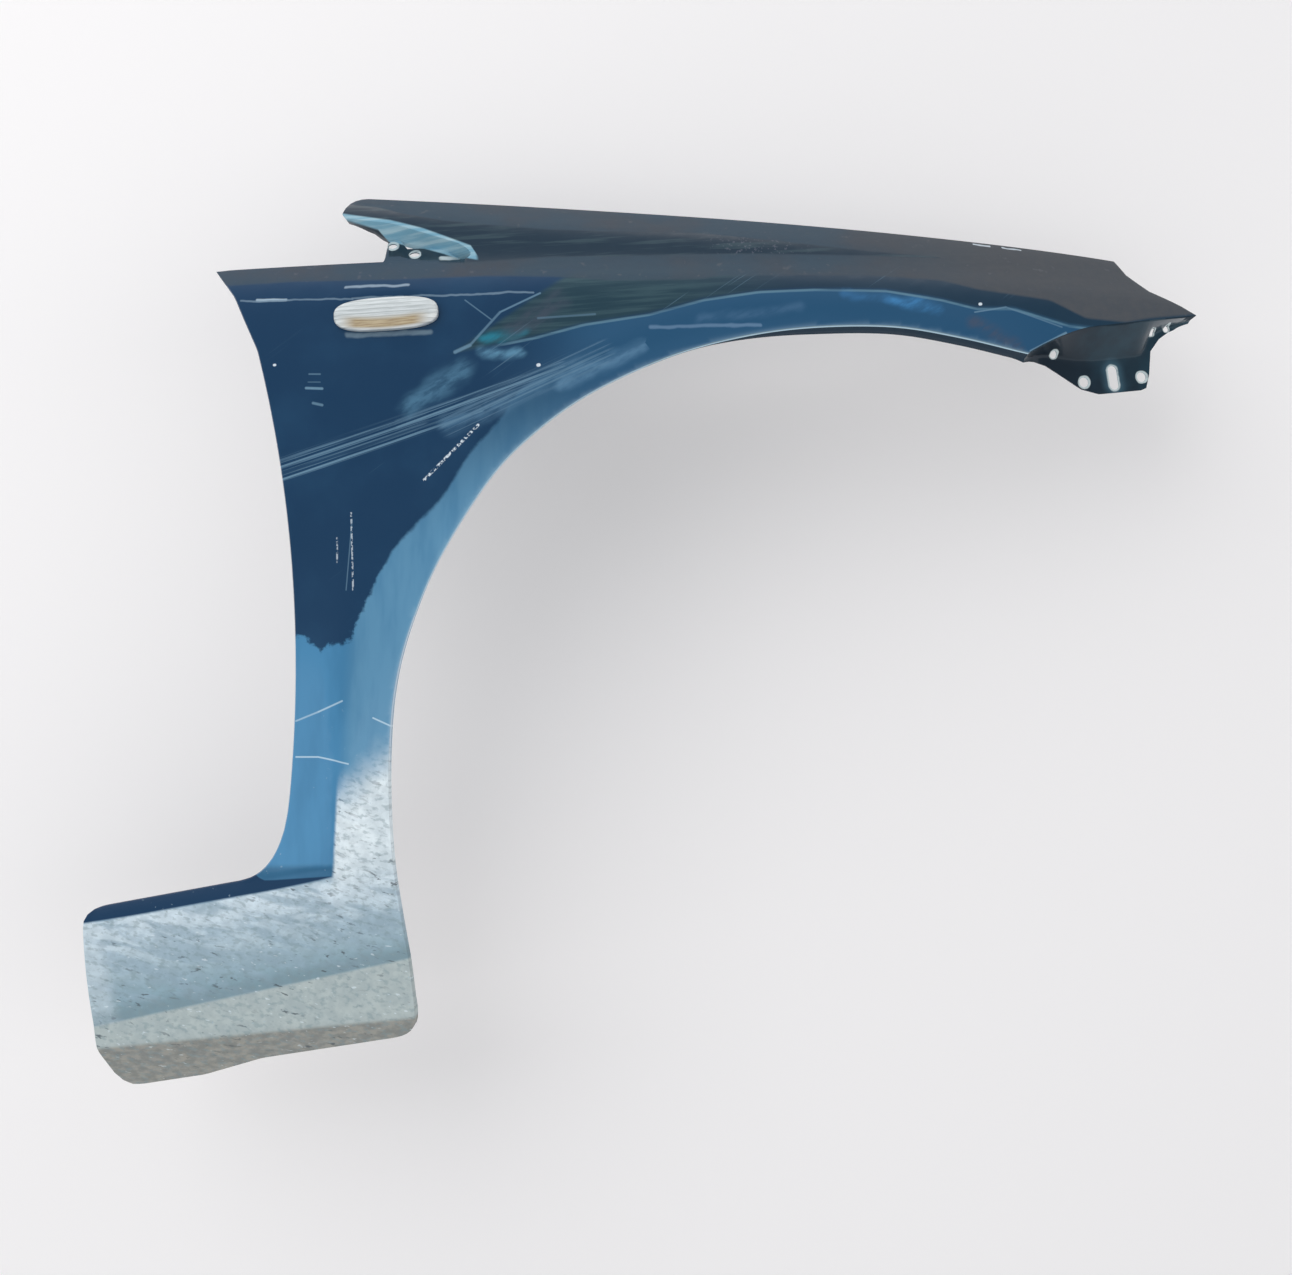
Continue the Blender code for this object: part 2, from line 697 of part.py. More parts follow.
def flange_rows(points, names, normals, depths):
    """Three rows of points beyond the outline, blended where one stretch meets the next."""
    count = len(points)
    own = []
    for i in range(count):
        x, z = points[i]
        rows = FLANGES[names[i]](x, depths[i], z, *normals[i])
        if names[i] != names[i - 1]:
            other = FLANGES[names[i - 1]](x, depths[i], z, *normals[i])
            rows = [(np.array(a) + np.array(b)) / 2 for a, b in zip(rows, other)]
        own.append(np.array(rows))
    return np.array(own)


# Lines of the skin that its facets follow


def feature_lines():
    x = np.linspace(SHOULDER_CORNER[0], NOSE_TIP[0], 70)
    lines = []
    bends = (
        (shoulder_low_height, SHOULDER_SOFT),
        (shoulder_top_height, VALLEY_SOFT),
        (arm_height, ARM_SOFT),
    )
    for height, soft in bends:
        for share in BEND_ROW_shares:
            lines.append(np.column_stack([x, height(x) + share * soft]))
    x = np.linspace(SHOULDER_CORNER[0], 0, 30)
    lines.append(np.column_stack([x, shoulder_crease_height(x)]))
    x = np.linspace(SILL_STEP_REAR[0], SILL_STEP_FRONT[0], 20)
    for rear, front in ((SILL_STEP_REAR, SILL_STEP_FRONT), (SILL_TURN_REAR, SILL_TURN_FRONT)):
        for share in BEND_ROW_shares:
            lines.append(np.column_stack([x, line_at(x, rear, front) + share * SILL_SOFT]))
    lines.extend(step_lines())
    lines.append(seat_line())
    return lines


def seat_line():
    """Edge of the lamp's flat seat."""
    line = []
    for angle in np.linspace(0, math.tau, 2 * LAMP_STEPS):
        c = math.cos(angle)
        s = math.sin(angle)
        u = math.copysign(abs(c) ** (2 / LENS_POWER_share), c) * (LENS_LENGTH / 2 + SEAT_MARGIN)
        v = math.copysign(abs(s) ** (2 / LENS_POWER_share), s) * (LENS_HEIGHT / 2 + SEAT_MARGIN)
        x = LAMP_CENTRE[0] + u * math.cos(LAMP_TILT) - v * math.sin(LAMP_TILT)
        z = LAMP_CENTRE[1] + u * math.sin(LAMP_TILT) + v * math.cos(LAMP_TILT)
        line.append((x, z))
    return np.array(line[:-1])


def step_lines():
    """Both edges of the step round the raised band, up the leg and along the ledge."""
    lines = []
    for side in (-1, 1):
        offset = side * FLARE_LEG_EDGE
        round_part = arc(FLARE_CENTRE, FLARE_RADIUS + offset, FLARE_LINE_FIRST, FLARE_LINE_LAST)
        z = np.linspace(SILL_LEDGE_REAR[1], FLARE_LEG_HEIGHT, 12)
        drop = FLARE_LEG_HEIGHT - FLARE_CENTRE[1]
        leg_x = FLARE_CENTRE[0] - math.sqrt(FLARE_RADIUS**2 - drop**2)
        x = leg_x + (z - FLARE_LEG_HEIGHT) * FLARE_LEG_SLOPE_share - offset
        corner_z = ledge_height(x[0]) + offset
        z[0] = corner_z
        round_part = round_part[round_part[:, 1] > FLARE_LEG_HEIGHT]
        ledge_x = np.linspace(DOOR_FOOT_END[0], x[0], 6)
        ledge = np.column_stack([ledge_x, ledge_height(ledge_x) + offset])
        lines.append(np.vstack([ledge[:-1], np.column_stack([x, z]), round_part]))
    return lines


def distance_to_loop(points, loop):
    """Distance from each point to the closed loop, and whether it lies within."""
    start = loop
    end = np.roll(loop, -1, axis=0)
    span = end - start
    square = (span**2).sum(1)
    best = np.full(len(points), math.inf)
    within = np.zeros(len(points), bool)
    for a, b, d, s in zip(start, end, span, square):
        share = np.clip(((points - a) @ d) / s, 0, 1)
        near = a + share[:, None] * d
        best = np.minimum(best, np.hypot(*(points - near).T))
        if d[1] == 0:
            continue
        crosses = (a[1] > points[:, 1]) != (b[1] > points[:, 1])
        where = a[0] + (points[:, 1] - a[1]) * d[0] / d[1]
        within ^= crosses & (points[:, 0] < where)
    return best, within


def skin_triangles(loop, spacing):
    """Points and triangles that fill the outline, following the feature lines."""
    points = [tuple(p) for p in loop]
    edges = [(i, (i + 1) % len(loop)) for i in range(len(loop))]
    for line in feature_lines():
        line = respace(line, spacing)
        away, within = distance_to_loop(line, loop)
        usable = within & (away > FEATURE_GAP)
        last = None
        for place, good in zip(line, usable):
            if not good:
                last = None
                continue
            points.append(tuple(place))
            if last is not None:
                edges.append((last, len(points) - 1))
            last = len(points) - 1
    fixed = np.array(points)
    low = loop.min(0)
    high = loop.max(0)
    row_height = spacing * math.sqrt(3) / 2
    grid = []
    for row in range(int((high[1] - low[1]) / row_height) + 1):
        xs = np.arange(low[0] + (row % 2) * spacing / 2, high[0], spacing)
        grid.append(np.column_stack([xs, np.full(len(xs), low[1] + row * row_height)]))
    grid = np.vstack(grid)
    away, within = distance_to_loop(grid, loop)
    grid = grid[within & (away > spacing * GRID_MARGIN_share)]
    near = np.array([np.min(np.hypot(*(fixed - p).T)) for p in grid])
    points.extend(tuple(p) for p in grid[near > spacing * GRID_MARGIN_share])
    flat, _, triangles, *_ = delaunay_2d_cdt([Vector(p) for p in points], edges, [], 0, MERGE_DISTANCE)
    flat = np.array([tuple(p) for p in flat])
    triangles = np.array([t for t in triangles if len(t) == 3])
    centres = flat[triangles].mean(1)
    _, within = distance_to_loop(centres, loop)
    sides = flat[triangles[:, 1:]] - flat[triangles[:, :1]]
    areas = np.abs(sides[:, 0, 0] * sides[:, 1, 1] - sides[:, 0, 1] * sides[:, 1, 0])
    return flat, triangles[within & (areas > SLIVER_share * spacing**2)]


def new_object(name, vertices, faces, look):
    mesh = bpy.data.meshes.new(name)
    mesh.from_pydata([tuple(v) for v in vertices], [], [tuple(int(i) for i in f) for f in faces])
    mesh.materials.append(look)
    result = bpy.data.objects.new(name, mesh)
    bpy.context.collection.objects.link(result)
    return result


def sheet_mesh(edge_spacing, skin_spacing):
    """The outer surface of the whole sheet: skin and flanges."""
    loop, names, normals = outline(edge_spacing)
    flat, triangles = skin_triangles(loop, skin_spacing)
    skin = np.column_stack([flat[:, 0], depth(flat[:, 0], flat[:, 1]), flat[:, 1]])
    first = []
    for place in loop:
        first.append(int(np.argmin(np.hypot(*(flat - place).T))))
    rows = flange_rows(loop, names, normals, skin[first, 1])
    vertices = [*skin]
    faces = []
    for triangle in triangles:
        a, b, c = flat[triangle]
        turn = (b[0] - a[0]) * (c[1] - a[1]) - (b[1] - a[1]) * (c[0] - a[0])
        faces.append(tuple(triangle) if turn > 0 else tuple(triangle[::-1]))
    count = len(loop)
    base = len(vertices)
    for k in range(rows.shape[1]):
        vertices.extend(rows[:, k])
    for i in range(count):
        j = (i + 1) % count
        ring = [first, *[[base + k * count + m for m in range(count)] for k in range(rows.shape[1])]]
        for inner, outer in zip(ring, ring[1:]):
            faces.append((inner[i], inner[j], outer[i]))
            faces.append((inner[j], outer[j], outer[i]))
    return np.array(vertices), faces


# Holes


def prism(centre, axis, radius, along=None, half=0.0, steps=ROUND_STEPS, reach=CUT_HALF):
    """A round or slotted cutter about an axis: its rings of points and its faces."""
    axis = Vector(axis).normalized()
    side = Vector(along) if along is not None else axis.orthogonal()
    side = (side - axis * side.dot(axis)).normalized()
    other = axis.cross(side)
    ring = []
    for i in range(steps):
        angle = math.tau * (i + 1 / 2) / steps
        shift = math.copysign(half, math.cos(angle))
        ring.append(side * (radius * math.cos(angle) + shift) + other * (radius * math.sin(angle)))
    centre = Vector(centre)
    low = [centre + p - axis * reach for p in ring]
    high = [centre + p + axis * reach for p in ring]
    faces = [tuple(reversed(range(steps))), tuple(range(steps, 2 * steps))]
    for i in range(steps):
        j = (i + 1) % steps
        faces.append((i, j, steps + j, steps + i))
    return [*low, *high], faces


def rail_point(x, share):
    """A point of the hood rail flange, share of the way to its inboard edge."""
    edge = float(depth(x, crest_height(x)))
    return x, edge + FOLD + RAIL_WALL_LEAN + RAIL_FLANGE * share, rail_height(x)


def rail_pitch(x):
    """Forward direction along the flat stretch of the rail flange at x."""
    return Vector((SHEET, 0, rail_height(x + SHEET) - rail_height(x))).normalized()


def web_point(x, z):
    """A point of the notch web at a height, and the web's upward direction."""
    edge_z = float(shoulder_top_height(x))
    edge_y = float(depth(x, edge_z))
    rows = notch_floor_flange(x, edge_y, edge_z, 0, 1)
    low = np.array(rows[1])
    high = np.array(rows[2])
    share = (z - low[2]) / (high[2] - low[2])
    return tuple(low + (high - low) * share), Vector(high - low).normalized()


def sill_flange_point(x):
    """A point of the flange under the sill; the flange is level ahead of its step."""
    xs, heights = np.array((SILL_HEEL, SILL_FOOT_REAR, SILL_FOOT_MIDDLE, SILL_FOOT_FRONT)).T
    edge_z = float(np.interp(x, xs, heights))
    return x, float(depth(x, edge_z)) + SILL_FOOT_FLANGE * SILL_HOLE_IN_share, edge_z - FOLD / 2


def hole_cutters():
    forward = Vector((1, 0, 0))
    inboard = Vector((0, 1, 0))
    cutters = []
    for x in RAIL_HOLES_X:
        axis = rail_pitch(x).cross(inboard)
        cutters.append(prism(rail_point(x, RAIL_HOLE_IN_share), axis, RAIL_HOLE_RADIUS))
    slot = rail_point(RAIL_SLOT_X, RAIL_HOLE_IN_share)
    axis = rail_pitch(RAIL_SLOT_X).cross(inboard)
    cutters.append(prism(slot, axis, RAIL_HOLE_RADIUS, forward, RAIL_SLOT_HALF))
    upward = Vector((0, 0, 1))
    bumper_holes = [(place, BUMPER_HOLE_RADIUS, 0) for place in BUMPER_HOLES]
    bumper_holes.append((BUMPER_SLOT, BUMPER_HOLE_RADIUS, BUMPER_SLOT_HALF))
    bumper_holes.append((BUMPER_CORNER_HOLE, BUMPER_CORNER_HOLE_RADIUS, 0))
    bumper_holes.extend((place, BUMPER_SMALL_HOLE_RADIUS, 0) for place in BUMPER_SMALL_HOLES)
    for (x, z), radius, half in bumper_holes:
        centre = (x, bumper_flange_depth(x), z)
        cutters.append(prism(centre, inboard, radius, upward, half, reach=2 * CUT_HALF))
    for place, radius in ((TAB_HOLE, TAB_HOLE_RADIUS), (WEB_HOLE, WEB_HOLE_RADIUS)):
        centre, up = web_point(*place)
        cutters.append(prism(centre, up.cross(forward), radius, reach=CUT_HALF / 2))
    for x in SILL_HOLES_X:
        cutters.append(prism(sill_flange_point(x), upward, SILL_HOLE_RADIUS))
    return cutters


def lamp_hole_cutter(seat):
    rings = [
        oval(seat, LAMP_HOLE_LENGTH / 2, LAMP_HOLE_HEIGHT / 2, -CUT_HALF),
        oval(seat, LAMP_HOLE_LENGTH / 2, LAMP_HOLE_HEIGHT / 2, CUT_HALF),
    ]
    return loft(rings, closed=False)


def cutter_object(cutters, look):
    vertices = []
    faces = []
    for points, own in cutters:
        faces.extend(tuple(i + len(vertices) for i in face) for face in own)
        vertices.extend(points)
    result = new_object("hole_cutter", vertices, faces, look)
    result.hide_render = True
    result.display_type = "WIRE"
    return result


# Side repeater lamp: every piece is lofted through oval rings about the seat's axis


def lamp_seat():
    """The lamp's own directions on the flat seat: along, up and out of the skin."""
    x, z = LAMP_CENTRE
    slope_x, slope_z = seat_slopes()
    out = Vector((slope_x, -1, slope_z)).normalized()
    along = Vector((math.cos(LAMP_TILT), 0, math.sin(LAMP_TILT)))
    along = (along - out * along.dot(out)).normalized()
    up = out.cross(along)
    origin = Vector((x, float(form_depth(x, z)), z))
    return Matrix((along, up, out)).transposed().to_4x4(), origin


def oval(seat, half_length, half_height, out, power=LENS_POWER_share):
    """A ring of points about the lamp's axis; power 2 makes it an ellipse."""
    turn, origin = seat
    ring = []
    for i in range(LAMP_STEPS):
        angle = math.tau * i / LAMP_STEPS
        c = math.cos(angle)
        s = math.sin(angle)
        u = math.copysign(abs(c) ** (2 / power), c) * half_length
        v = math.copysign(abs(s) ** (2 / power), s) * half_height
        ring.append(origin + turn @ Vector((u, v, out)))
    return ring


def loft(rings, closed):
    """Faces through the rings; closed joins the last ring to the first, or both are capped."""
    count = len(rings[0])
    vertices = [p for ring in rings for p in ring]
    faces = []
    last = len(rings) if closed else len(rings) - 1
    for k in range(last):
        low = k * count
        high = ((k + 1) % len(rings)) * count
        for i in range(count):
            j = (i + 1) % count
            faces.append((low + i, low + j, high + j, high + i))
    if not closed:
        faces.append(tuple(reversed(range(count))))
        faces.append(tuple(range(len(vertices) - count, len(vertices))))
    return vertices, faces


def box_piece(seat, centre, size):
    turn, origin = seat
    half = Vector(size) / 2
    corners = ((-1, -1), (1, -1), (1, 1), (-1, 1))
    rings = []
    for side in (-1, 1):
        ring = []
        for a, b in corners:
            ring.append(Vector(centre) + Vector((a * half.x, b * half.y, side * half.z)))
        rings.append([origin + turn @ p for p in ring])
    return loft(rings, closed=False)


def lens_rings(seat, wall, base, turned):
    """Rings up one side of the lens dome, wall inside the outer face."""
    half_length = LENS_LENGTH / 2 - wall
    half_height = LENS_HEIGHT / 2 - wall
    rings = [oval(seat, half_length, half_height, base)]
    rise = LENS_DOME - LENS_RIM
    for share in LENS_RING_shares:
        scale = 1 - (1 - math.cos(share * math.pi / 2)) * LENS_CROWN_share
        out = base + LENS_RIM - wall + rise * math.sin(share * math.pi / 2)
        edge = (1 - scale) * half_height
        rings.append(oval(seat, half_length - edge, half_height - edge, out))
    return rings[::-1] if turned else rings


def lens_piece(seat):
    base = GASKET_THICKNESS + PIECE_GAP
    inner = lens_rings(seat, LENS_WALL, base, turned=True)
    return loft([*inner, *lens_rings(seat, 0, base, turned=False)], closed=False)


def gasket_piece(seat):
    low = PIECE_GAP
    high = GASKET_THICKNESS
    hole = (LAMP_HOLE_LENGTH / 2, LAMP_HOLE_HEIGHT / 2)
    edge = (LENS_LENGTH / 2 - GASKET_MARGIN, LENS_HEIGHT / 2 - GASKET_MARGIN)
    rings = [oval(seat, *hole, low), oval(seat, *edge, low), oval(seat, *edge, high), oval(seat, *hole, high)]
    return loft(rings, closed=True)


def housing_piece(seat):
    length = LAMP_HOLE_LENGTH / 2 - LAMP_HOLE_CLEARANCE
    height = LAMP_HOLE_HEIGHT / 2 - LAMP_HOLE_CLEARANCE
    flange_length = LENS_LENGTH / 2 - LENS_WALL - PIECE_GAP
    flange_height = LENS_HEIGHT / 2 - LENS_WALL - PIECE_GAP
    low = GASKET_THICKNESS + PIECE_GAP
    high = low + HOUSING_FLANGE
    neck_end = -HOUSING_DEPTH - NECK_LENGTH
    bore = NECK_RADIUS - HOUSING_WALL
    cup_floor = HOUSING_WALL - HOUSING_DEPTH
    foot_length = length * HOUSING_FOOT_share
    rings = [
        oval(seat, NECK_RADIUS, NECK_RADIUS, neck_end, 2),
        oval(seat, NECK_RADIUS, NECK_RADIUS, -HOUSING_DEPTH, 2),
        oval(seat, foot_length, height, -HOUSING_DEPTH),
        oval(seat, length, height, -HOUSING_DEPTH / 2),
        oval(seat, length, height, low),
        oval(seat, flange_length, flange_height, low),
        oval(seat, flange_length, flange_height, high),
        oval(seat, length - HOUSING_WALL, height - HOUSING_WALL, high),
        oval(seat, length - HOUSING_WALL, height - HOUSING_WALL, HOUSING_WALL - HOUSING_DEPTH / 2),
        oval(seat, foot_length - HOUSING_WALL, height - HOUSING_WALL, cup_floor),
        oval(seat, bore, bore, cup_floor, 2),
        oval(seat, bore, bore, neck_end, 2),
    ]
    return loft(rings, closed=True)


def holder_piece(seat):
    top = -HOUSING_DEPTH - NECK_LENGTH - SEAL_THICKNESS - 2 * PIECE_GAP
    rear = top - HOLDER_LENGTH
    plug_top = -HOUSING_DEPTH
    recess = HOLDER_RADIUS * HOLDER_BODY_share - CONNECTOR_WALL
    body = HOLDER_RADIUS * HOLDER_BODY_share
    socket = BULB_BASE + PIECE_GAP
    rings = [
        oval(seat, recess, recess * CONNECTOR_share, rear + CONNECTOR_DEPTH, 6),
        oval(seat, recess, recess * CONNECTOR_share, rear, 6),
        oval(seat, body, body, rear, 2),
        oval(seat, body, body, top - HOUSING_WALL, 2),
        oval(seat, HOLDER_RADIUS, HOLDER_RADIUS, top - HOUSING_WALL, 2),
        oval(seat, HOLDER_RADIUS, HOLDER_RADIUS, top, 2),
        oval(seat, HOLDER_PLUG_RADIUS, HOLDER_PLUG_RADIUS, top, 2),
        oval(seat, HOLDER_PLUG_RADIUS, HOLDER_PLUG_RADIUS, plug_top, 2),
        oval(seat, socket, socket, plug_top, 2),
        oval(seat, socket, socket, plug_top - NECK_LENGTH / 2, 2),
    ]
    return loft(rings, closed=False)


def seal_piece(seat):
    low = -HOUSING_DEPTH - NECK_LENGTH - SEAL_THICKNESS - PIECE_GAP
    inner = HOLDER_PLUG_RADIUS + PIECE_GAP
    outer = NECK_RADIUS + SEAL_THICKNESS / 2
    middle = low + SEAL_THICKNESS / 2
    bulge = SEAL_THICKNESS / 4
    places = (
        (inner, middle),
        (inner + bulge, low),
        (outer - bulge, low),
        (outer, middle),
        (outer - bulge, low + SEAL_THICKNESS),
        (inner + bulge, low + SEAL_THICKNESS),
    )
    return loft([oval(seat, r, r, out, 2) for r, out in places], closed=True)


def bulb_piece(seat):
    base = -HOUSING_DEPTH - NECK_LENGTH / 2 + PIECE_GAP
    shoulder = -HOUSING_DEPTH + PIECE_GAP
    rings = [
        oval(seat, BULB_BASE, BULB_BASE / 2, base, 4),
        oval(seat, BULB_BASE, BULB_BASE / 2, shoulder, 4),
        oval(seat, BULB_RADIUS * BULB_NECK_share, BULB_RADIUS * BULB_NECK_share, shoulder + BULB_BASE / 2, 2),
    ]
    for share in BULB_RING_shares:
        angle = share * math.pi / 2
        radius = BULB_RADIUS * math.cos(angle)
        out = shoulder + BULB_LENGTH - BULB_RADIUS + BULB_RADIUS * math.sin(angle)
        rings.append(oval(seat, radius, radius, out, 2))
    return loft(rings, closed=False)


def terminal_piece(seat, side):
    top = -HOUSING_DEPTH - NECK_LENGTH - SEAL_THICKNESS - 2 * PIECE_GAP
    floor = top - HOLDER_LENGTH + CONNECTOR_DEPTH - PIECE_GAP
    centre = (side * TERMINAL_PITCH / 2, 0, floor - TERMINAL_LENGTH / 2)
    return box_piece(seat, centre, (TERMINAL_WIDTH, TERMINAL_THICKNESS, TERMINAL_LENGTH))


def clip_piece(seat):
    """A sprung tongue: down the housing's rear end, then out and up to the sheet's back."""
    turn, origin = seat
    half = CLIP_THICKNESS / 2
    wall = -(LAMP_HOLE_LENGTH / 2 - LAMP_HOLE_CLEARANCE + PIECE_GAP) - half
    low = -HOUSING_DEPTH / 2
    high = -SHEET - PIECE_GAP - CLIP_THICKNESS
    path = (
        Vector((wall, low + CLIP_LEG)),
        Vector((wall, low)),
        Vector((wall - CLIP_BEND, low - half)),
        Vector((wall - CLIP_LENGTH / 2, high)),
    )
    rings = []
    for i, place in enumerate(path):
        ahead = (path[min(i + 1, len(path) - 1)] - path[max(i - 1, 0)]).normalized()
        across = Vector((-ahead.y, ahead.x)) * half
        ring = []
        for side, edge in ((-1, 1), (1, 1), (1, -1), (-1, -1)):
            u, w = place + across * side
            ring.append(origin + turn @ Vector((u, edge * CLIP_WIDTH / 2, w)))
        rings.append(ring)
    return loft(rings, closed=False)


def main():
    for item in list(bpy.data.objects):
        bpy.data.objects.remove(item, do_unlink=True)
    paint = material("body_paint", (0.012, 0.060, 0.130), 0.25, 0.3)
    clear = material("lens_plastic", (0.85, 0.87, 0.88), 0.10, 0.0, 0.45)
    foam = material("foam_rubber", (0.02, 0.02, 0.02), 0.90, 0.0)
    silver = material("reflector_plastic", (0.75, 0.76, 0.78), 0.20, 0.8)
    black = material("black_plastic", (0.02, 0.02, 0.022), 0.55, 0.0)
    amber = material("amber_glass", (0.75, 0.30, 0.05), 0.08, 0.0, 0.6)
    spring = material("spring_steel", (0.45, 0.45, 0.46), 0.35, 0.9)
    brass = material("terminal_brass", (0.75, 0.60, 0.30), 0.30, 1.0)

    fender = bpy.data.objects.new("fender", None)
    bpy.context.collection.objects.link(fender)

    vertices, faces = sheet_mesh(EDGE_SPACING, SKIN_SPACING)
    panel = new_object("fender_panel", vertices, faces, paint)
    thick = panel.modifiers.new("sheet", "SOLIDIFY")
    thick.thickness = SHEET
    thick.offset = -1
    thick.use_even_offset = True
    seat = lamp_seat()
    cutter = cutter_object([*hole_cutters(), lamp_hole_cutter(seat)], paint)
    cut = panel.modifiers.new("holes", "BOOLEAN")
    cut.operation = "DIFFERENCE"
    cut.solver = "EXACT"
    cut.object = cutter

    pieces = (
        ("repeater_lens", lens_piece(seat), clear),
        ("repeater_gasket", gasket_piece(seat), foam),
        ("repeater_housing", housing_piece(seat), silver),
        ("repeater_bulb_holder", holder_piece(seat), black),
        ("repeater_holder_seal", seal_piece(seat), foam),
        ("repeater_bulb", bulb_piece(seat), amber),
        ("repeater_terminal_1", terminal_piece(seat, -1), brass),
        ("repeater_terminal_2", terminal_piece(seat, 1), brass),
        ("repeater_spring_clip", clip_piece(seat), spring),
    )
    for name, (points, own), look in pieces:
        piece = new_object(name, points, own, look)
        piece.parent = fender
    panel.parent = fender
    cutter.parent = fender

    x, y, z = rail_point(RAIL_MOUNT_X, RAIL_MOUNT_IN_share)
    pitch = rail_pitch(RAIL_MOUNT_X)
    fender.location = (-x, -y, SHEET / pitch.x - z)


main()
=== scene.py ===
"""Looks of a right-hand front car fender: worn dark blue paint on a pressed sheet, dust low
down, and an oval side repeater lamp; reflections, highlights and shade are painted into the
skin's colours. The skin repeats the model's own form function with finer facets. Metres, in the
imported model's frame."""

import math

import bpy
import numpy as np
from mathutils import Matrix, Vector
from mathutils.geometry import delaunay_2d_cdt


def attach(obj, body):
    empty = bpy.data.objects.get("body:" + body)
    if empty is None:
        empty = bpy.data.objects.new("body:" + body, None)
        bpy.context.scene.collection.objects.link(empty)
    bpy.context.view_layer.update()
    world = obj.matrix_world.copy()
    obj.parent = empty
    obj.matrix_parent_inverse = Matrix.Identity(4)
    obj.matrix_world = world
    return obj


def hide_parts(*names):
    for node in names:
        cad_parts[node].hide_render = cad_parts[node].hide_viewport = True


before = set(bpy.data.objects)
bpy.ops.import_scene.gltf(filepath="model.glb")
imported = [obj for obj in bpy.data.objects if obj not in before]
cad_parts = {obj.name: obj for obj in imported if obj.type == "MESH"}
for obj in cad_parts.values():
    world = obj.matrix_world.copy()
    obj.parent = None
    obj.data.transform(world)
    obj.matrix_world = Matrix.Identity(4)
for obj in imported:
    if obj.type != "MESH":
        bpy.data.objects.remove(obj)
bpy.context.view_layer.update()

# Sheet
SHEET = 0.0008
FOLD = 0.0020
FEATURE_GAP = 0.0026
BEND_ROW_shares = (-1.3, 0.0, 1.3)
SHARP_BEND = math.radians(14)
GRID_MARGIN_share = 0.55
MERGE_DISTANCE = 0.0000001
SLIVER_share = 0.0001

# Wheel arch: points of the lip from its front end over the crown and down the leg
ARCH_POINTS = (
    (0.3512, 0.1766), (0.2980, 0.1980), (0.2427, 0.2157), (0.1755, 0.2256), (0.1160, 0.2268),
    (0.0553, 0.2199), (-0.0122, 0.2010), (-0.0650, 0.1748), (-0.1050, 0.1443), (-0.1529, 0.0906),
    (-0.1854, 0.0393), (-0.2049, -0.0047), (-0.2171, -0.0501), (-0.2254, -0.0960), (-0.2310, -0.1431),
    (-0.2330, -0.1912), (-0.2336, -0.2380), (-0.2345, -0.2620),
)
SILL_FORM_X = -0.2150
SILL_FORM_TOP = -0.1450

# Wheel arch flare: the raised band round the arch
FLARE_CENTRE = (0.120, -0.124)
FLARE_RADIUS = 0.386
FLARE_LEG_HEIGHT = -0.060
FLARE_LEG_SLOPE_share = 0.233
FLARE_LEG_X = FLARE_CENTRE[0] - math.sqrt(FLARE_RADIUS**2 - (FLARE_LEG_HEIGHT - FLARE_CENTRE[1]) ** 2)
FLARE_LEG_RAISE = 0.0085
FLARE_CROWN_RAISE = 0.0030
FLARE_LEG_EDGE = 0.0030
FLARE_CROWN_EDGE = 0.0150
FLARE_FADE_HEIGHT = 0.170
FLARE_TUCK_RADIUS = 0.260
FLARE_LINE_FIRST = math.radians(172)
FLARE_LINE_LAST = math.radians(40)

# Door edge
DOOR_EDGE_X = -0.2848
DOOR_EDGE_PITCH_share = 0.2050
DOOR_EDGE_RADIUS = 0.990
DOOR_FOOT_TOP = -0.0750
DOOR_FOOT_CORNER = (-0.3200, -0.1376)
DOOR_FOOT_END = (-0.3570, -0.1372)
DOOR_HEAD_LOW = 0.282
DOOR_HEAD_POINTS = ((-0.2737, 0.3079), (-0.2785, 0.3280), (-0.2850, 0.3409))

# Sill extension
SILL_TOP_REAR = (-0.4680, -0.1378)
SILL_REAR_TOP = (-0.4842, -0.1520)
SILL_REAR_CORNER = (-0.4825, -0.1385)
SILL_REAR_MIDDLE = (-0.4940, -0.2080)
SILL_REAR_FOOT = (-0.4925, -0.2640)
SILL_FOOT_CORNER = (-0.4945, -0.2930)
SILL_HEEL = (-0.4780, -0.2925)
SILL_FOOT_REAR = (-0.4230, -0.2925)
SILL_FOOT_MIDDLE = (-0.3700, -0.2842)
SILL_FOOT_FRONT = (-0.2600, -0.2842)
SILL_TOE_CORNER = (-0.2370, -0.2850)
SILL_STEP_REAR = (-0.4940, -0.2318)
SILL_STEP_FRONT = (-0.2340, -0.2214)
SILL_TURN_REAR = (-0.4880, -0.2500)
SILL_TURN_FRONT = (-0.2380, -0.2680)
SILL_SOFT = 0.0035
SILL_TUCK_share = 0.05
SILL_LIP_share = 0.34
SILL_TURN_share = 1.05
SILL_LEDGE_REAR = (-0.3500, -0.1425)
SILL_LEDGE_PITCH_share = 0.02
SILL_LEDGE_EDGE = 0.0035

# Shoulder, arm and crest lines, each a height at the datum, a pitch and a radius
SHOULDER_LOW = (0.2964, 7.79)
SHOULDER_LOW_PITCH_share = 0.1657
SHOULDER_TOP = (0.3162, 7.12)
SHOULDER_TOP_PITCH_share = 0.1622
SHOULDER_CREASE = (0.2860, 40.0)
SHOULDER_CREASE_PITCH_share = 0.1397
CREST = (0.3680, 7.48)
CREST_PITCH_share = 0.2297
ARM_BAND_HEIGHT = 0.0265
ARM_BAND_PEAK_X = 0.060
ARM_BAND_RADIUS = 3.0

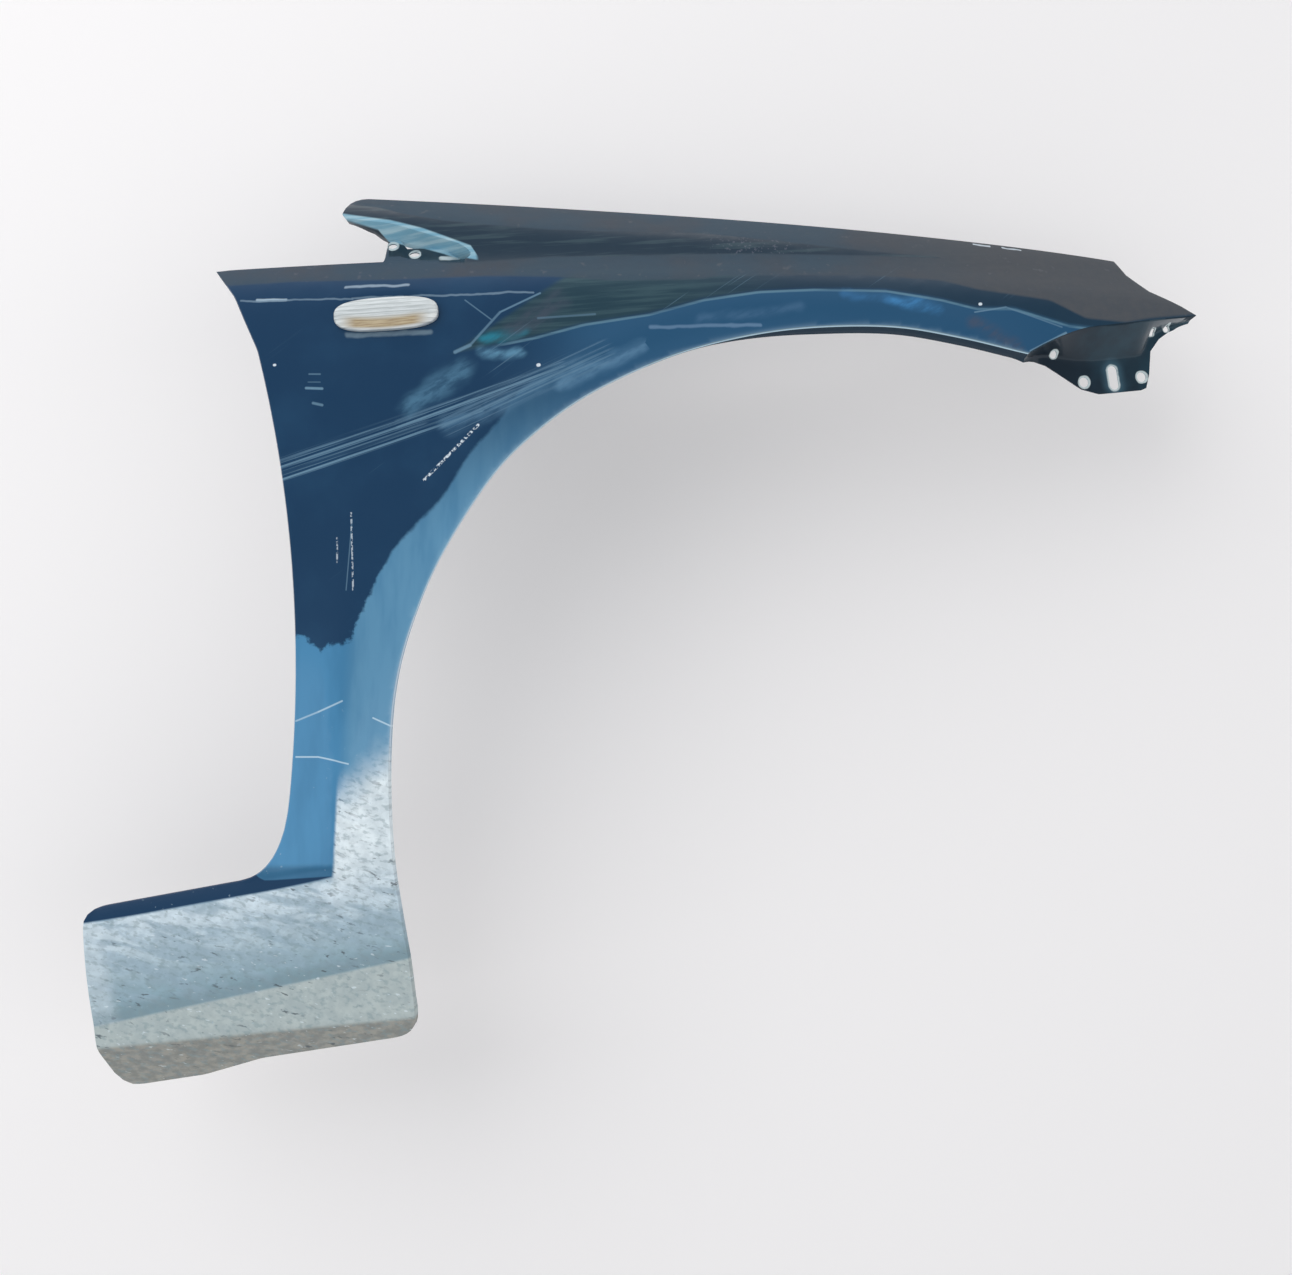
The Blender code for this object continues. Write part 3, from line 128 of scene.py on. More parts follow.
# Depth of the skin inboard
PLAN_START_X = -0.150
PLAN_RADIUS = 2.85
NOSE_START_X = 0.350
NOSE_RADIUS = 0.90
CROWN_HEIGHT = 0.080
CROWN_RADIUS = 3.4
SHOULDER_SLOPE_share = 1.10
CREASE_SLOPE_share = 0.10
VALLEY_SLOPE_share = -0.95
ARM_SLOPE_share = 1.15
SHOULDER_SOFT = 0.0060
CREASE_SOFT = 0.0040
VALLEY_SOFT = 0.0050
ARM_SOFT = 0.0060
VALLEY_FADE_START_X = 0.100
VALLEY_FADE_END_X = 0.400
VALLEY_FRONT_share = 0.30

# Nose, bumper edge and arm end
CREST_FRONT_X = 0.4550
NOSE_STEP = (0.4595, 0.2345)
NOSE_SHOULDER = (0.4735, 0.2155)
NOSE_TIP = (0.5095, 0.1890)
BUMPER_EDGE_MIDDLE = (0.4480, 0.1900)
BUMPER_EDGE_REAR = (0.4080, 0.1908)
BUMPER_EDGE_BEND = (0.3800, 0.1880)
ARM_TIP_TOP_X = -0.1664
ARM_TIP_CORNER = (-0.1805, 0.4065)
ARM_TIP_END = (-0.1867, 0.3900)

# Quarter window notch
SHOULDER_CORNER = (-0.2940, 0.3554)
NOTCH_FLOOR_END_X = -0.0940
NOTCH_END_BEND = (-0.0790, 0.3335)
NOTCH_ROOF_END = (-0.0957, 0.3463)
NOTCH_ROOF_MIDDLE = (-0.1478, 0.3738)
NOTCH_ROOF_REAR = (-0.1835, 0.3845)

# Flanges
LIP_FLANGE_LEG = 0.0170
LIP_FLANGE_REAR = 0.0080
LIP_FLANGE_FRONT = 0.0210
LIP_FLANGE_DROP = 0.0035
LIP_LEG_X = -0.2150
LIP_REAR_X = -0.1500
LIP_CROWN_X = 0.0600
LIP_FRONT_X = 0.2000
DOOR_FLANGE = 0.014
SILL_TOP_FLANGE = 0.016
SILL_REAR_FLANGE = 0.013
SILL_FOOT_FLANGE = 0.024
LAMP_EDGE_FLANGE = 0.016
LAMP_EDGE_DROP = 0.004
ARM_END_FLANGE = 0.012
RAIL_WALL = 0.026
RAIL_WALL_LEAN = 0.005
RAIL_FLANGE = 0.027
RAIL_NODES_X = (-0.150, 0.060, 0.270, 0.460)
NOTCH_ROOF_DROP = 0.0030
NOTCH_ROOF_FLANGE = 0.007
NOTCH_CUSP_REAR_X = -0.1720
NOTCH_CUSP_FRONT_X = -0.1540
NOTCH_ROOF_END_DROP = 0.0115
NOTCH_ROOF_END_FLANGE = 0.019
NOTCH_ROOF_BEND_share = 0.6
NOTCH_FLOOR_FLANGE = 0.010
NOTCH_WEB_REACH = 0.026
NOTCH_WEB_RISE = 0.022
NOTCH_WEB_REAR_X = -0.1585
NOTCH_TAB_FRONT_X = -0.1430
NOTCH_WEB_LOW_share = 0.62
NOTCH_WEB_BEND_share = 0.3
NOTCH_WEB_BEND_RISE_share = 0.2
BUMPER_WALL_DROP = 0.026
BUMPER_WALL_share = 0.45
BUMPER_FLANGE_Y = 0.092
BUMPER_FLANGE_X = 0.430
BUMPER_FLANGE_PITCH_share = 0.34
BUMPER_FOOT_POINTS = (
    (0.3512, 0.1735), (0.3657, 0.1700), (0.3821, 0.1568), (0.3987, 0.1428), (0.4148, 0.1364),
    (0.4580, 0.1347), (0.4635, 0.1400), (0.4665, 0.1640), (0.4797, 0.1765), (0.4919, 0.1821),
    (0.5095, 0.1860),
)

# Holes
RAIL_HOLE_RADIUS = 0.0045
RAIL_HOLES_X = (-0.110, 0.010, 0.230, 0.395)
RAIL_SLOT_X = 0.105
RAIL_SLOT_HALF = 0.005
RAIL_HOLE_IN_share = 0.55
BUMPER_HOLE_RADIUS = 0.0042
BUMPER_HOLES = ((0.4024, 0.1483), (0.4565, 0.1459))
BUMPER_SLOT = (0.4302, 0.1487)
BUMPER_SLOT_HALF = 0.0060
BUMPER_CORNER_HOLE = (0.3785, 0.1745)
BUMPER_CORNER_HOLE_RADIUS = 0.0028
BUMPER_SMALL_HOLES = ((0.4720, 0.1820), (0.4874, 0.1838))
BUMPER_SMALL_HOLE_RADIUS = 0.0024
TAB_HOLE = (-0.1505, 0.3560)
TAB_HOLE_RADIUS = 0.0036
WEB_HOLE = (-0.1330, 0.3440)
WEB_HOLE_RADIUS = 0.0042
SILL_HOLE_RADIUS = 0.0045
SILL_HOLES_X = (-0.455, -0.300)
SILL_HOLE_IN_share = 0.55
BUMPER_CUTS = (
    *((place, BUMPER_HOLE_RADIUS, 0) for place in BUMPER_HOLES),
    (BUMPER_SLOT, BUMPER_HOLE_RADIUS, BUMPER_SLOT_HALF),
    (BUMPER_CORNER_HOLE, BUMPER_CORNER_HOLE_RADIUS, 0),
    *((place, BUMPER_SMALL_HOLE_RADIUS, 0) for place in BUMPER_SMALL_HOLES),
)
CUT_HALF = 0.012
ROUND_STEPS = 14

# Mounts
RAIL_MOUNT_X = 0.165
RAIL_MOUNT_IN_share = 0.55

# Side repeater lamp, sizes along its own length, height and depth
LAMP_CENTRE = (-0.1602, 0.2916)
LAMP_TILT = math.radians(-6.1)
LENS_LENGTH = 0.084
LENS_HEIGHT = 0.0265
LENS_DOME = 0.0085
LENS_WALL = 0.0018
LENS_RIM = 0.0038
LENS_POWER_share = 2.9
GASKET_THICKNESS = 0.0010
SEAT_MARGIN = 0.006
SEAT_FADE = 0.010
PIECE_GAP = 0.0003
LAMP_HOLE_LENGTH = 0.068
LAMP_HOLE_HEIGHT = 0.0175
LAMP_STEPS = 28
LENS_STEPS = 112
LENS_RING_shares = (0.0, 0.1, 0.2, 0.3, 0.42, 0.55, 0.7, 0.85)
LENS_CROWN_share = 0.85


# Helpers for curves


def bezier(start, corner, end, steps=8):
    """A round corner: a quadratic curve from start to end, pulled to corner."""
    t = np.linspace(0, 1, steps + 1)[:, None]
    start, corner, end = (np.array(p) for p in (start, corner, end))
    return (1 - t) ** 2 * start + 2 * t * (1 - t) * corner + t**2 * end


def smooth(points, steps=6):
    """A smooth curve through all the points, with its ends at the first and last."""
    points = np.array(points)
    before = np.vstack([2 * points[0] - points[1], points[:-2]])
    start = points[:-1]
    end = points[1:]
    after = np.vstack([points[2:], 2 * points[-1] - points[-2]])
    line = []
    for a, b, c, d in zip(before, start, end, after):
        for t in np.arange(steps) / steps:
            curve = (2 * b) + (c - a) * t + (2 * a - 5 * b + 4 * c - d) * t**2
            line.append((curve + (3 * b - a - 3 * c + d) * t**3) / 2)
    return np.vstack([line, end[-1:]])


def arc(centre, radius, first, last, steps=60):
    a = np.linspace(first, last, steps)
    return np.column_stack([centre[0] + radius * np.cos(a), centre[1] + radius * np.sin(a)])


def long_line(line, pitch_share):
    """The height along one of the long lines: level at the datum, pitched and bowed."""
    return lambda x: line[0] - pitch_share * x - x * x / (2 * line[1])


crest_height = long_line(CREST, CREST_PITCH_share)
shoulder_top_height = long_line(SHOULDER_TOP, SHOULDER_TOP_PITCH_share)
shoulder_low_height = long_line(SHOULDER_LOW, SHOULDER_LOW_PITCH_share)
shoulder_crease_height = long_line(SHOULDER_CREASE, SHOULDER_CREASE_PITCH_share)


def arm_height(x):
    return crest_height(x) - ARM_BAND_HEIGHT + (x - ARM_BAND_PEAK_X) ** 2 / (2 * ARM_BAND_RADIUS)


def line_at(x, rear, front):
    """Height at x of the straight line through two points."""
    return rear[1] + (x - rear[0]) * (front[1] - rear[1]) / (front[0] - rear[0])


def ramp(t, soft):
    """Zero before a crease and t after it, rounded over soft."""
    return (t + np.sqrt(t * t + soft * soft)) / 2


def inside(t, soft):
    """One where t is well below zero, nothing where it is well above."""
    return (1 - t / np.sqrt(t * t + soft * soft)) / 2


def fade(t, start, end):
    s = np.clip((t - start) / (end - start), 0, 1)
    return s * s * (3 - 2 * s)


# Form of the skin: depth inboard at a point of the side view


def flare_distance(x, z):
    """Distance outside the flare's crease; negative inside the raised band."""
    round_part = np.hypot(x - FLARE_CENTRE[0], z - FLARE_CENTRE[1]) - FLARE_RADIUS
    leg_part = FLARE_LEG_X + (z - FLARE_LEG_HEIGHT) * FLARE_LEG_SLOPE_share - x
    return np.where((z < FLARE_LEG_HEIGHT) & (x < 0), leg_part, round_part)


def ledge_height(x):
    """Height of the middle of the sill ledge's slope."""
    return SILL_LEDGE_REAR[1] - SILL_LEDGE_PITCH_share * (x - SILL_LEDGE_REAR[0])


def form_depth(x, z):
    """Depth of the skin before the lamp's seat is pressed flat."""
    x = np.asarray(x, float)
    z = np.asarray(z, float)
    y = np.maximum(x - PLAN_START_X, 0) ** 2 / (2 * PLAN_RADIUS)
    y = y + np.maximum(x - NOSE_START_X, 0) ** 2 / (2 * NOSE_RADIUS)
    y = y + (z - CROWN_HEIGHT) ** 2 / (2 * CROWN_RADIUS)
    flare = flare_distance(x, z)
    up = fade(z, SILL_LEDGE_REAR[1], FLARE_FADE_HEIGHT)
    raised = FLARE_LEG_RAISE * (1 - up) + FLARE_CROWN_RAISE * up
    soft = FLARE_LEG_EDGE * (1 - up) + FLARE_CROWN_EDGE * up
    flare_share = inside(flare, soft)
    sill_share = inside(z - ledge_height(x), SILL_LEDGE_EDGE) * (x < 0)
    y = y - raised * np.maximum(flare_share, sill_share)
    y = y + up * np.minimum(flare, 0) ** 2 / (2 * FLARE_TUCK_RADIUS)
    rear_share = 1 - fade(x, 0, NOSE_START_X)
    y = y + CREASE_SLOPE_share * rear_share * ramp(z - shoulder_crease_height(x), CREASE_SOFT)
    valley = 1 - (1 - VALLEY_FRONT_share) * fade(x, VALLEY_FADE_START_X, VALLEY_FADE_END_X)
    y = y + SHOULDER_SLOPE_share * ramp(z - shoulder_low_height(x), SHOULDER_SOFT)
    y = y + VALLEY_SLOPE_share * valley * ramp(z - shoulder_top_height(x), VALLEY_SOFT)
    y = y + ARM_SLOPE_share * valley * ramp(z - arm_height(x), ARM_SOFT)
    sill = (x < SILL_FORM_X) & (z < SILL_FORM_TOP)
    down = line_at(x, SILL_STEP_REAR, SILL_STEP_FRONT) - z
    turn = line_at(x, SILL_TURN_REAR, SILL_TURN_FRONT) - z
    tuck = SILL_TUCK_share * np.maximum(ledge_height(x) - z, 0) - SILL_LIP_share * ramp(down, SILL_SOFT)
    tuck = tuck + (SILL_TURN_share + SILL_LIP_share) * ramp(turn, SILL_SOFT)
    return y + np.where(sill, tuck, 0)


def seat_slopes():
    """Slopes of the skin along X and Z at the lamp's centre."""
    x, z = LAMP_CENTRE
    slope_x = float(form_depth(x + SEAT_FADE, z) - form_depth(x - SEAT_FADE, z)) / (2 * SEAT_FADE)
    slope_z = float(form_depth(x, z + SEAT_FADE) - form_depth(x, z - SEAT_FADE)) / (2 * SEAT_FADE)
    return slope_x, slope_z


def seat_radius(x, z):
    """One on the edge of the lamp's flat seat, less within it."""
    dx = x - LAMP_CENTRE[0]
    dz = z - LAMP_CENTRE[1]
    u = dx * math.cos(LAMP_TILT) + dz * math.sin(LAMP_TILT)
    v = dz * math.cos(LAMP_TILT) - dx * math.sin(LAMP_TILT)
    power = LENS_POWER_share
    length_part = (abs(u) / (LENS_LENGTH / 2 + SEAT_MARGIN)) ** power
    height_part = (abs(v) / (LENS_HEIGHT / 2 + SEAT_MARGIN)) ** power
    return (length_part + height_part) ** (1 / power)


def depth(x, z):
    """Depth inboard of the finished skin, with the lamp's seat pressed flat."""
    x = np.asarray(x, float)
    z = np.asarray(z, float)
    y = form_depth(x, z)
    slope_x, slope_z = seat_slopes()
    flat = float(form_depth(*LAMP_CENTRE)) + slope_x * (x - LAMP_CENTRE[0]) + slope_z * (z - LAMP_CENTRE[1])
    seated = 1 - fade(seat_radius(x, z), 1, 1 + SEAT_FADE / LENS_HEIGHT)
    return y + (flat - y) * seated


# Outline of the skin in the side view, clockwise, as named stretches


def crest_line():
    x = np.linspace(ARM_TIP_TOP_X, CREST_FRONT_X, 60)
    return np.column_stack([x, crest_height(x)])


def lamp_edge_line():
    top = (CREST_FRONT_X, float(crest_height(CREST_FRONT_X)))
    return np.array([top, NOSE_STEP, NOSE_SHOULDER, NOSE_TIP])


def bumper_edge_line():
    rear = bezier(BUMPER_EDGE_REAR, BUMPER_EDGE_BEND, ARCH_POINTS[0])
    return np.vstack([[NOSE_TIP], [BUMPER_EDGE_MIDDLE], rear])


def arch_line():
    return smooth(ARCH_POINTS)


def sill_foot_line():
    toe = bezier(ARCH_POINTS[-1], SILL_TOE_CORNER, SILL_FOOT_FRONT)
    heel = bezier(SILL_HEEL, SILL_FOOT_CORNER, SILL_REAR_FOOT, 4)
    return np.vstack([toe, [SILL_FOOT_MIDDLE], [SILL_FOOT_REAR], heel])


def sill_rear_line():
    return bezier(SILL_REAR_FOOT, SILL_REAR_MIDDLE, SILL_REAR_TOP)


def sill_top_line():
    corner = bezier(SILL_REAR_TOP, SILL_REAR_CORNER, SILL_TOP_REAR, 4)
    return np.vstack([corner, [DOOR_FOOT_END]])


def door_edge_line():
    z = np.linspace(DOOR_FOOT_TOP, DOOR_HEAD_LOW, 40)
    x = DOOR_EDGE_X + DOOR_EDGE_PITCH_share * z - z * z / (2 * DOOR_EDGE_RADIUS)
    foot = bezier(DOOR_FOOT_END, DOOR_FOOT_CORNER, (x[0], z[0]))
    return np.vstack([foot, np.column_stack([x, z])[1:], DOOR_HEAD_POINTS, [SHOULDER_CORNER]])


def notch_floor_line():
    x = np.linspace(SHOULDER_CORNER[0], NOTCH_FLOOR_END_X, 30)
    lift = SHOULDER_CORNER[1] - float(shoulder_top_height(SHOULDER_CORNER[0]))
    share = (x - NOTCH_FLOOR_END_X) / (SHOULDER_CORNER[0] - NOTCH_FLOOR_END_X)
    return np.column_stack([x, shoulder_top_height(x) + lift * share])


def notch_roof_line():
    floor_end = (NOTCH_FLOOR_END_X, float(shoulder_top_height(NOTCH_FLOOR_END_X)))
    end = bezier(floor_end, NOTCH_END_BEND, NOTCH_ROOF_END, 6)
    return np.vstack([end, [NOTCH_ROOF_MIDDLE, NOTCH_ROOF_REAR]])


def arm_end_line():
    top = (ARM_TIP_TOP_X, float(crest_height(ARM_TIP_TOP_X)))
    end = bezier(ARM_TIP_END, ARM_TIP_CORNER, top, 5)
    return np.vstack([[NOTCH_ROOF_REAR], end])


STRETCHES = (
    ("crest", crest_line),
    ("lamp_edge", lamp_edge_line),
    ("bumper_edge", bumper_edge_line),
    ("arch", arch_line),
    ("sill_foot", sill_foot_line),
    ("sill_rear", sill_rear_line),
    ("sill_top", sill_top_line),
    ("door_edge", door_edge_line),
    ("notch_floor", notch_floor_line),
    ("notch_roof", notch_roof_line),
    ("arm_end", arm_end_line),
)


def respace(line, spacing):
    """The same line with points at an even spacing, keeping its ends and sharp bends."""
    line = np.asarray(line, float)
    steps = np.diff(line, axis=0)
    lengths = np.hypot(steps[:, 0], steps[:, 1])
    keep = lengths > SHEET
    line = np.vstack([line[:1], line[1:][keep]])
    steps = np.diff(line, axis=0)
    lengths = np.hypot(steps[:, 0], steps[:, 1])
    along = np.concatenate([[0], np.cumsum(lengths)])
    headings = np.unwrap(np.arctan2(steps[:, 1], steps[:, 0]))
    bends = [i + 1 for i in range(len(headings) - 1) if abs(headings[i + 1] - headings[i]) > SHARP_BEND]
    stops = [0, *bends, len(line) - 1]
    places = [0.0]
    for a, b in zip(stops, stops[1:]):
        count = max(1, round((along[b] - along[a]) / spacing))
        places.extend(np.linspace(along[a], along[b], count + 1)[1:])
    places = np.array(places)
    return np.column_stack([np.interp(places, along, line[:, 0]), np.interp(places, along, line[:, 1])])


def outline(spacing):
    """Points of the closed outline, with each point's stretch and outward direction."""
    points = []
    names = []
    for name, line in STRETCHES:
        stretch = respace(line(), spacing)[:-1]
        points.extend(stretch)
        names.extend([name] * len(stretch))
    points = np.array(points)
    ahead = np.roll(points, -1, axis=0) - points
    ahead /= np.linalg.norm(ahead, axis=1)[:, None]
    behind = np.roll(ahead, 1, axis=0)
    mean = ahead + behind
    mean /= np.linalg.norm(mean, axis=1)[:, None]
    normals = np.column_stack([-mean[:, 1], mean[:, 0]])
    return points, names, normals


# Flanges: for a point of the outline, three points further along the folded sheet


def rail_height(x):
    """Height of the hood rail flange: flat between its breaks."""
    nodes = np.array(RAIL_NODES_X)
    heights = crest_height(nodes) - RAIL_WALL
    slopes = np.diff(heights) / np.diff(nodes)
    i = int(np.clip(np.searchsorted(nodes, x) - 1, 0, len(slopes) - 1))
    return float(heights[i] + slopes[i] * (x - nodes[i]))


def bumper_flange_depth(x):
    return BUMPER_FLANGE_Y + BUMPER_FLANGE_PITCH_share * (x - BUMPER_FLANGE_X)


def bumper_foot_height(x):
    """Lower edge of the bumper flange."""
    xs, heights = np.array(BUMPER_FOOT_POINTS).T
    return float(np.interp(x, xs, heights))


def lip_flange_width(x):
    """The lip's flange is deep on the leg and at the front, and shallow between."""
    rear = fade(x, LIP_LEG_X, LIP_REAR_X)
    front = fade(x, LIP_CROWN_X, LIP_FRONT_X)
    low = LIP_FLANGE_LEG + (LIP_FLANGE_REAR - LIP_FLANGE_LEG) * rear
    return float(low + (LIP_FLANGE_FRONT - LIP_FLANGE_REAR) * front)


def returned(x, y, z, nx, nz, width, out=0.0):
    """A flange turned straight inboard by width, its end moved outward by out."""
    middle = (x + nx * (FOLD + out) / 2, y + width / 2, z + nz * (FOLD + out) / 2)
    return (
        (x + nx * FOLD / 2, y + FOLD, z + nz * FOLD / 2),
        middle,
        (x + nx * out, y + width, z + nz * out),
    )


def plain(width, out=0.0):
    """The profile of a flange that has one width all along its stretch."""
    return lambda *place: returned(*place, width, out)


def crest_flange(x, y, z, *_):
    rail = rail_height(x)
    return (
        (x, y + FOLD, z + FOLD / 2),
        (x, y + FOLD + RAIL_WALL_LEAN, rail),
        (x, y + FOLD + RAIL_WALL_LEAN + RAIL_FLANGE, rail),
    )


def bumper_flange(x, y, z, *_):
    foot = min(bumper_foot_height(x), z - FOLD)
    fold = max(z - BUMPER_WALL_DROP, z - (z - foot) * BUMPER_WALL_share)
    plane = max(bumper_flange_depth(x), y + FOLD)
    return (
        (x, y + FOLD / 2, z - FOLD / 2),
        (x, plane, fold),
        (x, plane, foot),
    )


def arch_flange(x, *place):
    drop = LIP_FLANGE_DROP * float(fade(x, LIP_CROWN_X, LIP_FRONT_X))
    return returned(x, *place, lip_flange_width(x), drop)


def sill_foot_flange(x, y, z, *_):
    return (
        (x, y + FOLD, z - FOLD / 2),
        (x, y + SILL_FOOT_FLANGE / 2, z - FOLD / 2),
        (x, y + SILL_FOOT_FLANGE, z - FOLD / 2),
    )


def notch_floor_flange(x, y, z, *_):
    share = 1.0 if x <= NOTCH_TAB_FRONT_X else NOTCH_WEB_LOW_share
    share = share if x > NOTCH_WEB_REAR_X else 0.0
    reach = NOTCH_FLOOR_FLANGE + share * (NOTCH_WEB_REACH - NOTCH_FLOOR_FLANGE)
    rise = share * NOTCH_WEB_RISE
    return (
        (x, y + FOLD, z + FOLD / 2),
        (x, y + reach * NOTCH_WEB_BEND_share, z + FOLD / 2 + rise * NOTCH_WEB_BEND_RISE_share),
        (x, y + reach, z + FOLD / 2 + rise),
    )


def notch_roof_flange(x, y, z, *_):
    share = float(fade(x, NOTCH_CUSP_REAR_X, NOTCH_CUSP_FRONT_X))
    drop = NOTCH_ROOF_DROP + share * (NOTCH_ROOF_END_DROP - NOTCH_ROOF_DROP)
    reach = NOTCH_ROOF_FLANGE + share * (NOTCH_ROOF_END_FLANGE - NOTCH_ROOF_FLANGE)
    return (
        (x, y + FOLD / 2, z - FOLD / 2),
        (x, y + reach * NOTCH_ROOF_BEND_share, z - drop),
        (x, y + reach, z - drop - FOLD),
    )


FLANGES = {
    "crest": crest_flange,
    "lamp_edge": plain(LAMP_EDGE_FLANGE, -LAMP_EDGE_DROP),
    "bumper_edge": bumper_flange,
    "arch": arch_flange,
    "sill_foot": sill_foot_flange,
    "sill_rear": plain(SILL_REAR_FLANGE),
    "sill_top": plain(SILL_TOP_FLANGE),
    "door_edge": plain(DOOR_FLANGE),
    "notch_floor": notch_floor_flange,
    "notch_roof": notch_roof_flange,
    "arm_end": plain(ARM_END_FLANGE),
}


def flange_rows(points, names, normals, depths):
    """Three rows of points beyond the outline, blended where one stretch meets the next."""
    count = len(points)
    own = []
    for i in range(count):
        x, z = points[i]
        rows = FLANGES[names[i]](x, depths[i], z, *normals[i])
        if names[i] != names[i - 1]:
            other = FLANGES[names[i - 1]](x, depths[i], z, *normals[i])
            rows = [(np.array(a) + np.array(b)) / 2 for a, b in zip(rows, other)]
        own.append(np.array(rows))
    return np.array(own)


# Lines of the skin that its facets follow


def feature_lines():
    x = np.linspace(SHOULDER_CORNER[0], NOSE_TIP[0], 70)
    lines = []
    bends = (
        (shoulder_low_height, SHOULDER_SOFT),
        (shoulder_top_height, VALLEY_SOFT),
        (arm_height, ARM_SOFT),
    )
    for height, soft in bends:
        for share in BEND_ROW_shares:
            lines.append(np.column_stack([x, height(x) + share * soft]))
    x = np.linspace(SHOULDER_CORNER[0], 0, 30)
    lines.append(np.column_stack([x, shoulder_crease_height(x)]))
    x = np.linspace(SILL_STEP_REAR[0], SILL_STEP_FRONT[0], 20)
    for rear, front in ((SILL_STEP_REAR, SILL_STEP_FRONT), (SILL_TURN_REAR, SILL_TURN_FRONT)):
        for share in BEND_ROW_shares:
            lines.append(np.column_stack([x, line_at(x, rear, front) + share * SILL_SOFT]))
    lines.extend(step_lines())
    lines.append(seat_line())
    return lines


def oval_point(angle, half_length, half_height):
    """A point of the lamp's oval, along its length and up."""
    c = math.cos(angle)
    s = math.sin(angle)
    power = 2 / LENS_POWER_share
    return math.copysign(abs(c) ** power, c) * half_length, math.copysign(abs(s) ** power, s) * half_height


def seat_line():
    """Edge of the lamp's flat seat."""
    line = []
    for angle in np.linspace(0, math.tau, 2 * LAMP_STEPS)[:-1]:
        u, v = oval_point(angle, LENS_LENGTH / 2 + SEAT_MARGIN, LENS_HEIGHT / 2 + SEAT_MARGIN)
        x = LAMP_CENTRE[0] + u * math.cos(LAMP_TILT) - v * math.sin(LAMP_TILT)
        z = LAMP_CENTRE[1] + u * math.sin(LAMP_TILT) + v * math.cos(LAMP_TILT)
        line.append((x, z))
    return np.array(line)


def step_lines():
    """Both edges of the step round the raised band, up the leg and along the ledge."""
    lines = []
    for side in (-1, 1):
        offset = side * FLARE_LEG_EDGE
        round_part = arc(FLARE_CENTRE, FLARE_RADIUS + offset, FLARE_LINE_FIRST, FLARE_LINE_LAST)
        z = np.linspace(SILL_LEDGE_REAR[1], FLARE_LEG_HEIGHT, 12)
        x = FLARE_LEG_X + (z - FLARE_LEG_HEIGHT) * FLARE_LEG_SLOPE_share - offset
        z[0] = ledge_height(x[0]) + offset
        round_part = round_part[round_part[:, 1] > FLARE_LEG_HEIGHT]
        ledge_x = np.linspace(DOOR_FOOT_END[0], x[0], 6)
        ledge = np.column_stack([ledge_x, ledge_height(ledge_x) + offset])
        lines.append(np.vstack([ledge[:-1], np.column_stack([x, z]), round_part]))
    return lines


def distance_to_loop(points, loop):
    """Distance from each point to the closed loop, and whether it lies within."""
    start = loop
    end = np.roll(loop, -1, axis=0)
    span = end - start
    square = (span**2).sum(1)
    best = np.full(len(points), math.inf)
    within = np.zeros(len(points), bool)
    for a, b, d, s in zip(start, end, span, square):
        share = np.clip(((points - a) @ d) / s, 0, 1)
        near = a + share[:, None] * d
        best = np.minimum(best, np.hypot(*(points - near).T))
        if d[1] == 0:
            continue
        crosses = (a[1] > points[:, 1]) != (b[1] > points[:, 1])
        where = a[0] + (points[:, 1] - a[1]) * d[0] / d[1]
        within ^= crosses & (points[:, 0] < where)
    return best, within


def skin_triangles(loop, spacing):
    """Points and triangles that fill the outline, following the feature lines."""
    points = [tuple(p) for p in loop]
    edges = [(i, (i + 1) % len(loop)) for i in range(len(loop))]
    for line in feature_lines():
        line = respace(line, spacing)
        away, within = distance_to_loop(line, loop)
        usable = within & (away > FEATURE_GAP)
        last = None
        for place, good in zip(line, usable):
            if not good:
                last = None
                continue
            points.append(tuple(place))
            if last is not None:
                edges.append((last, len(points) - 1))
            last = len(points) - 1
    fixed = np.array(points)
    low = loop.min(0)
    high = loop.max(0)
    row_height = spacing * math.sqrt(3) / 2
    grid = []
    for row in range(int((high[1] - low[1]) / row_height) + 1):
        xs = np.arange(low[0] + (row % 2) * spacing / 2, high[0], spacing)
        grid.append(np.column_stack([xs, np.full(len(xs), low[1] + row * row_height)]))
    grid = np.vstack(grid)
    away, within = distance_to_loop(grid, loop)
    grid = grid[within & (away > spacing * GRID_MARGIN_share)]
    near = np.array([np.min(np.hypot(*(fixed - p).T)) for p in grid])
    points.extend(tuple(p) for p in grid[near > spacing * GRID_MARGIN_share])
    flat, _, triangles, *_ = delaunay_2d_cdt([Vector(p) for p in points], edges, [], 0, MERGE_DISTANCE)
    flat = np.array([tuple(p) for p in flat])
    triangles = np.array([t for t in triangles if len(t) == 3])
    centres = flat[triangles].mean(1)
    _, within = distance_to_loop(centres, loop)
    sides = flat[triangles[:, 1:]] - flat[triangles[:, :1]]
    areas = np.abs(sides[:, 0, 0] * sides[:, 1, 1] - sides[:, 0, 1] * sides[:, 1, 0])
    return flat, triangles[within & (areas > SLIVER_share * spacing**2)]


# Holes


def prism(centre, axis, radius, along=None, half=0.0, reach=CUT_HALF):
    """A round or slotted cutter about an axis: its rings of points and its faces."""
    steps = ROUND_STEPS
    axis = Vector(axis).normalized()
    side = Vector(along) if along is not None else axis.orthogonal()
    side = (side - axis * side.dot(axis)).normalized()
    other = axis.cross(side)
    ring = []
    for i in range(steps):
        angle = math.tau * (i + 1 / 2) / steps
        shift = math.copysign(half, math.cos(angle))
        ring.append(side * (radius * math.cos(angle) + shift) + other * (radius * math.sin(angle)))
    centre = Vector(centre)
    low = [centre + p - axis * reach for p in ring]
    high = [centre + p + axis * reach for p in ring]
    faces = [tuple(reversed(range(steps))), tuple(range(steps, 2 * steps))]
    for i in range(steps):
        j = (i + 1) % steps
        faces.append((i, j, steps + j, steps + i))
    return [*low, *high], faces


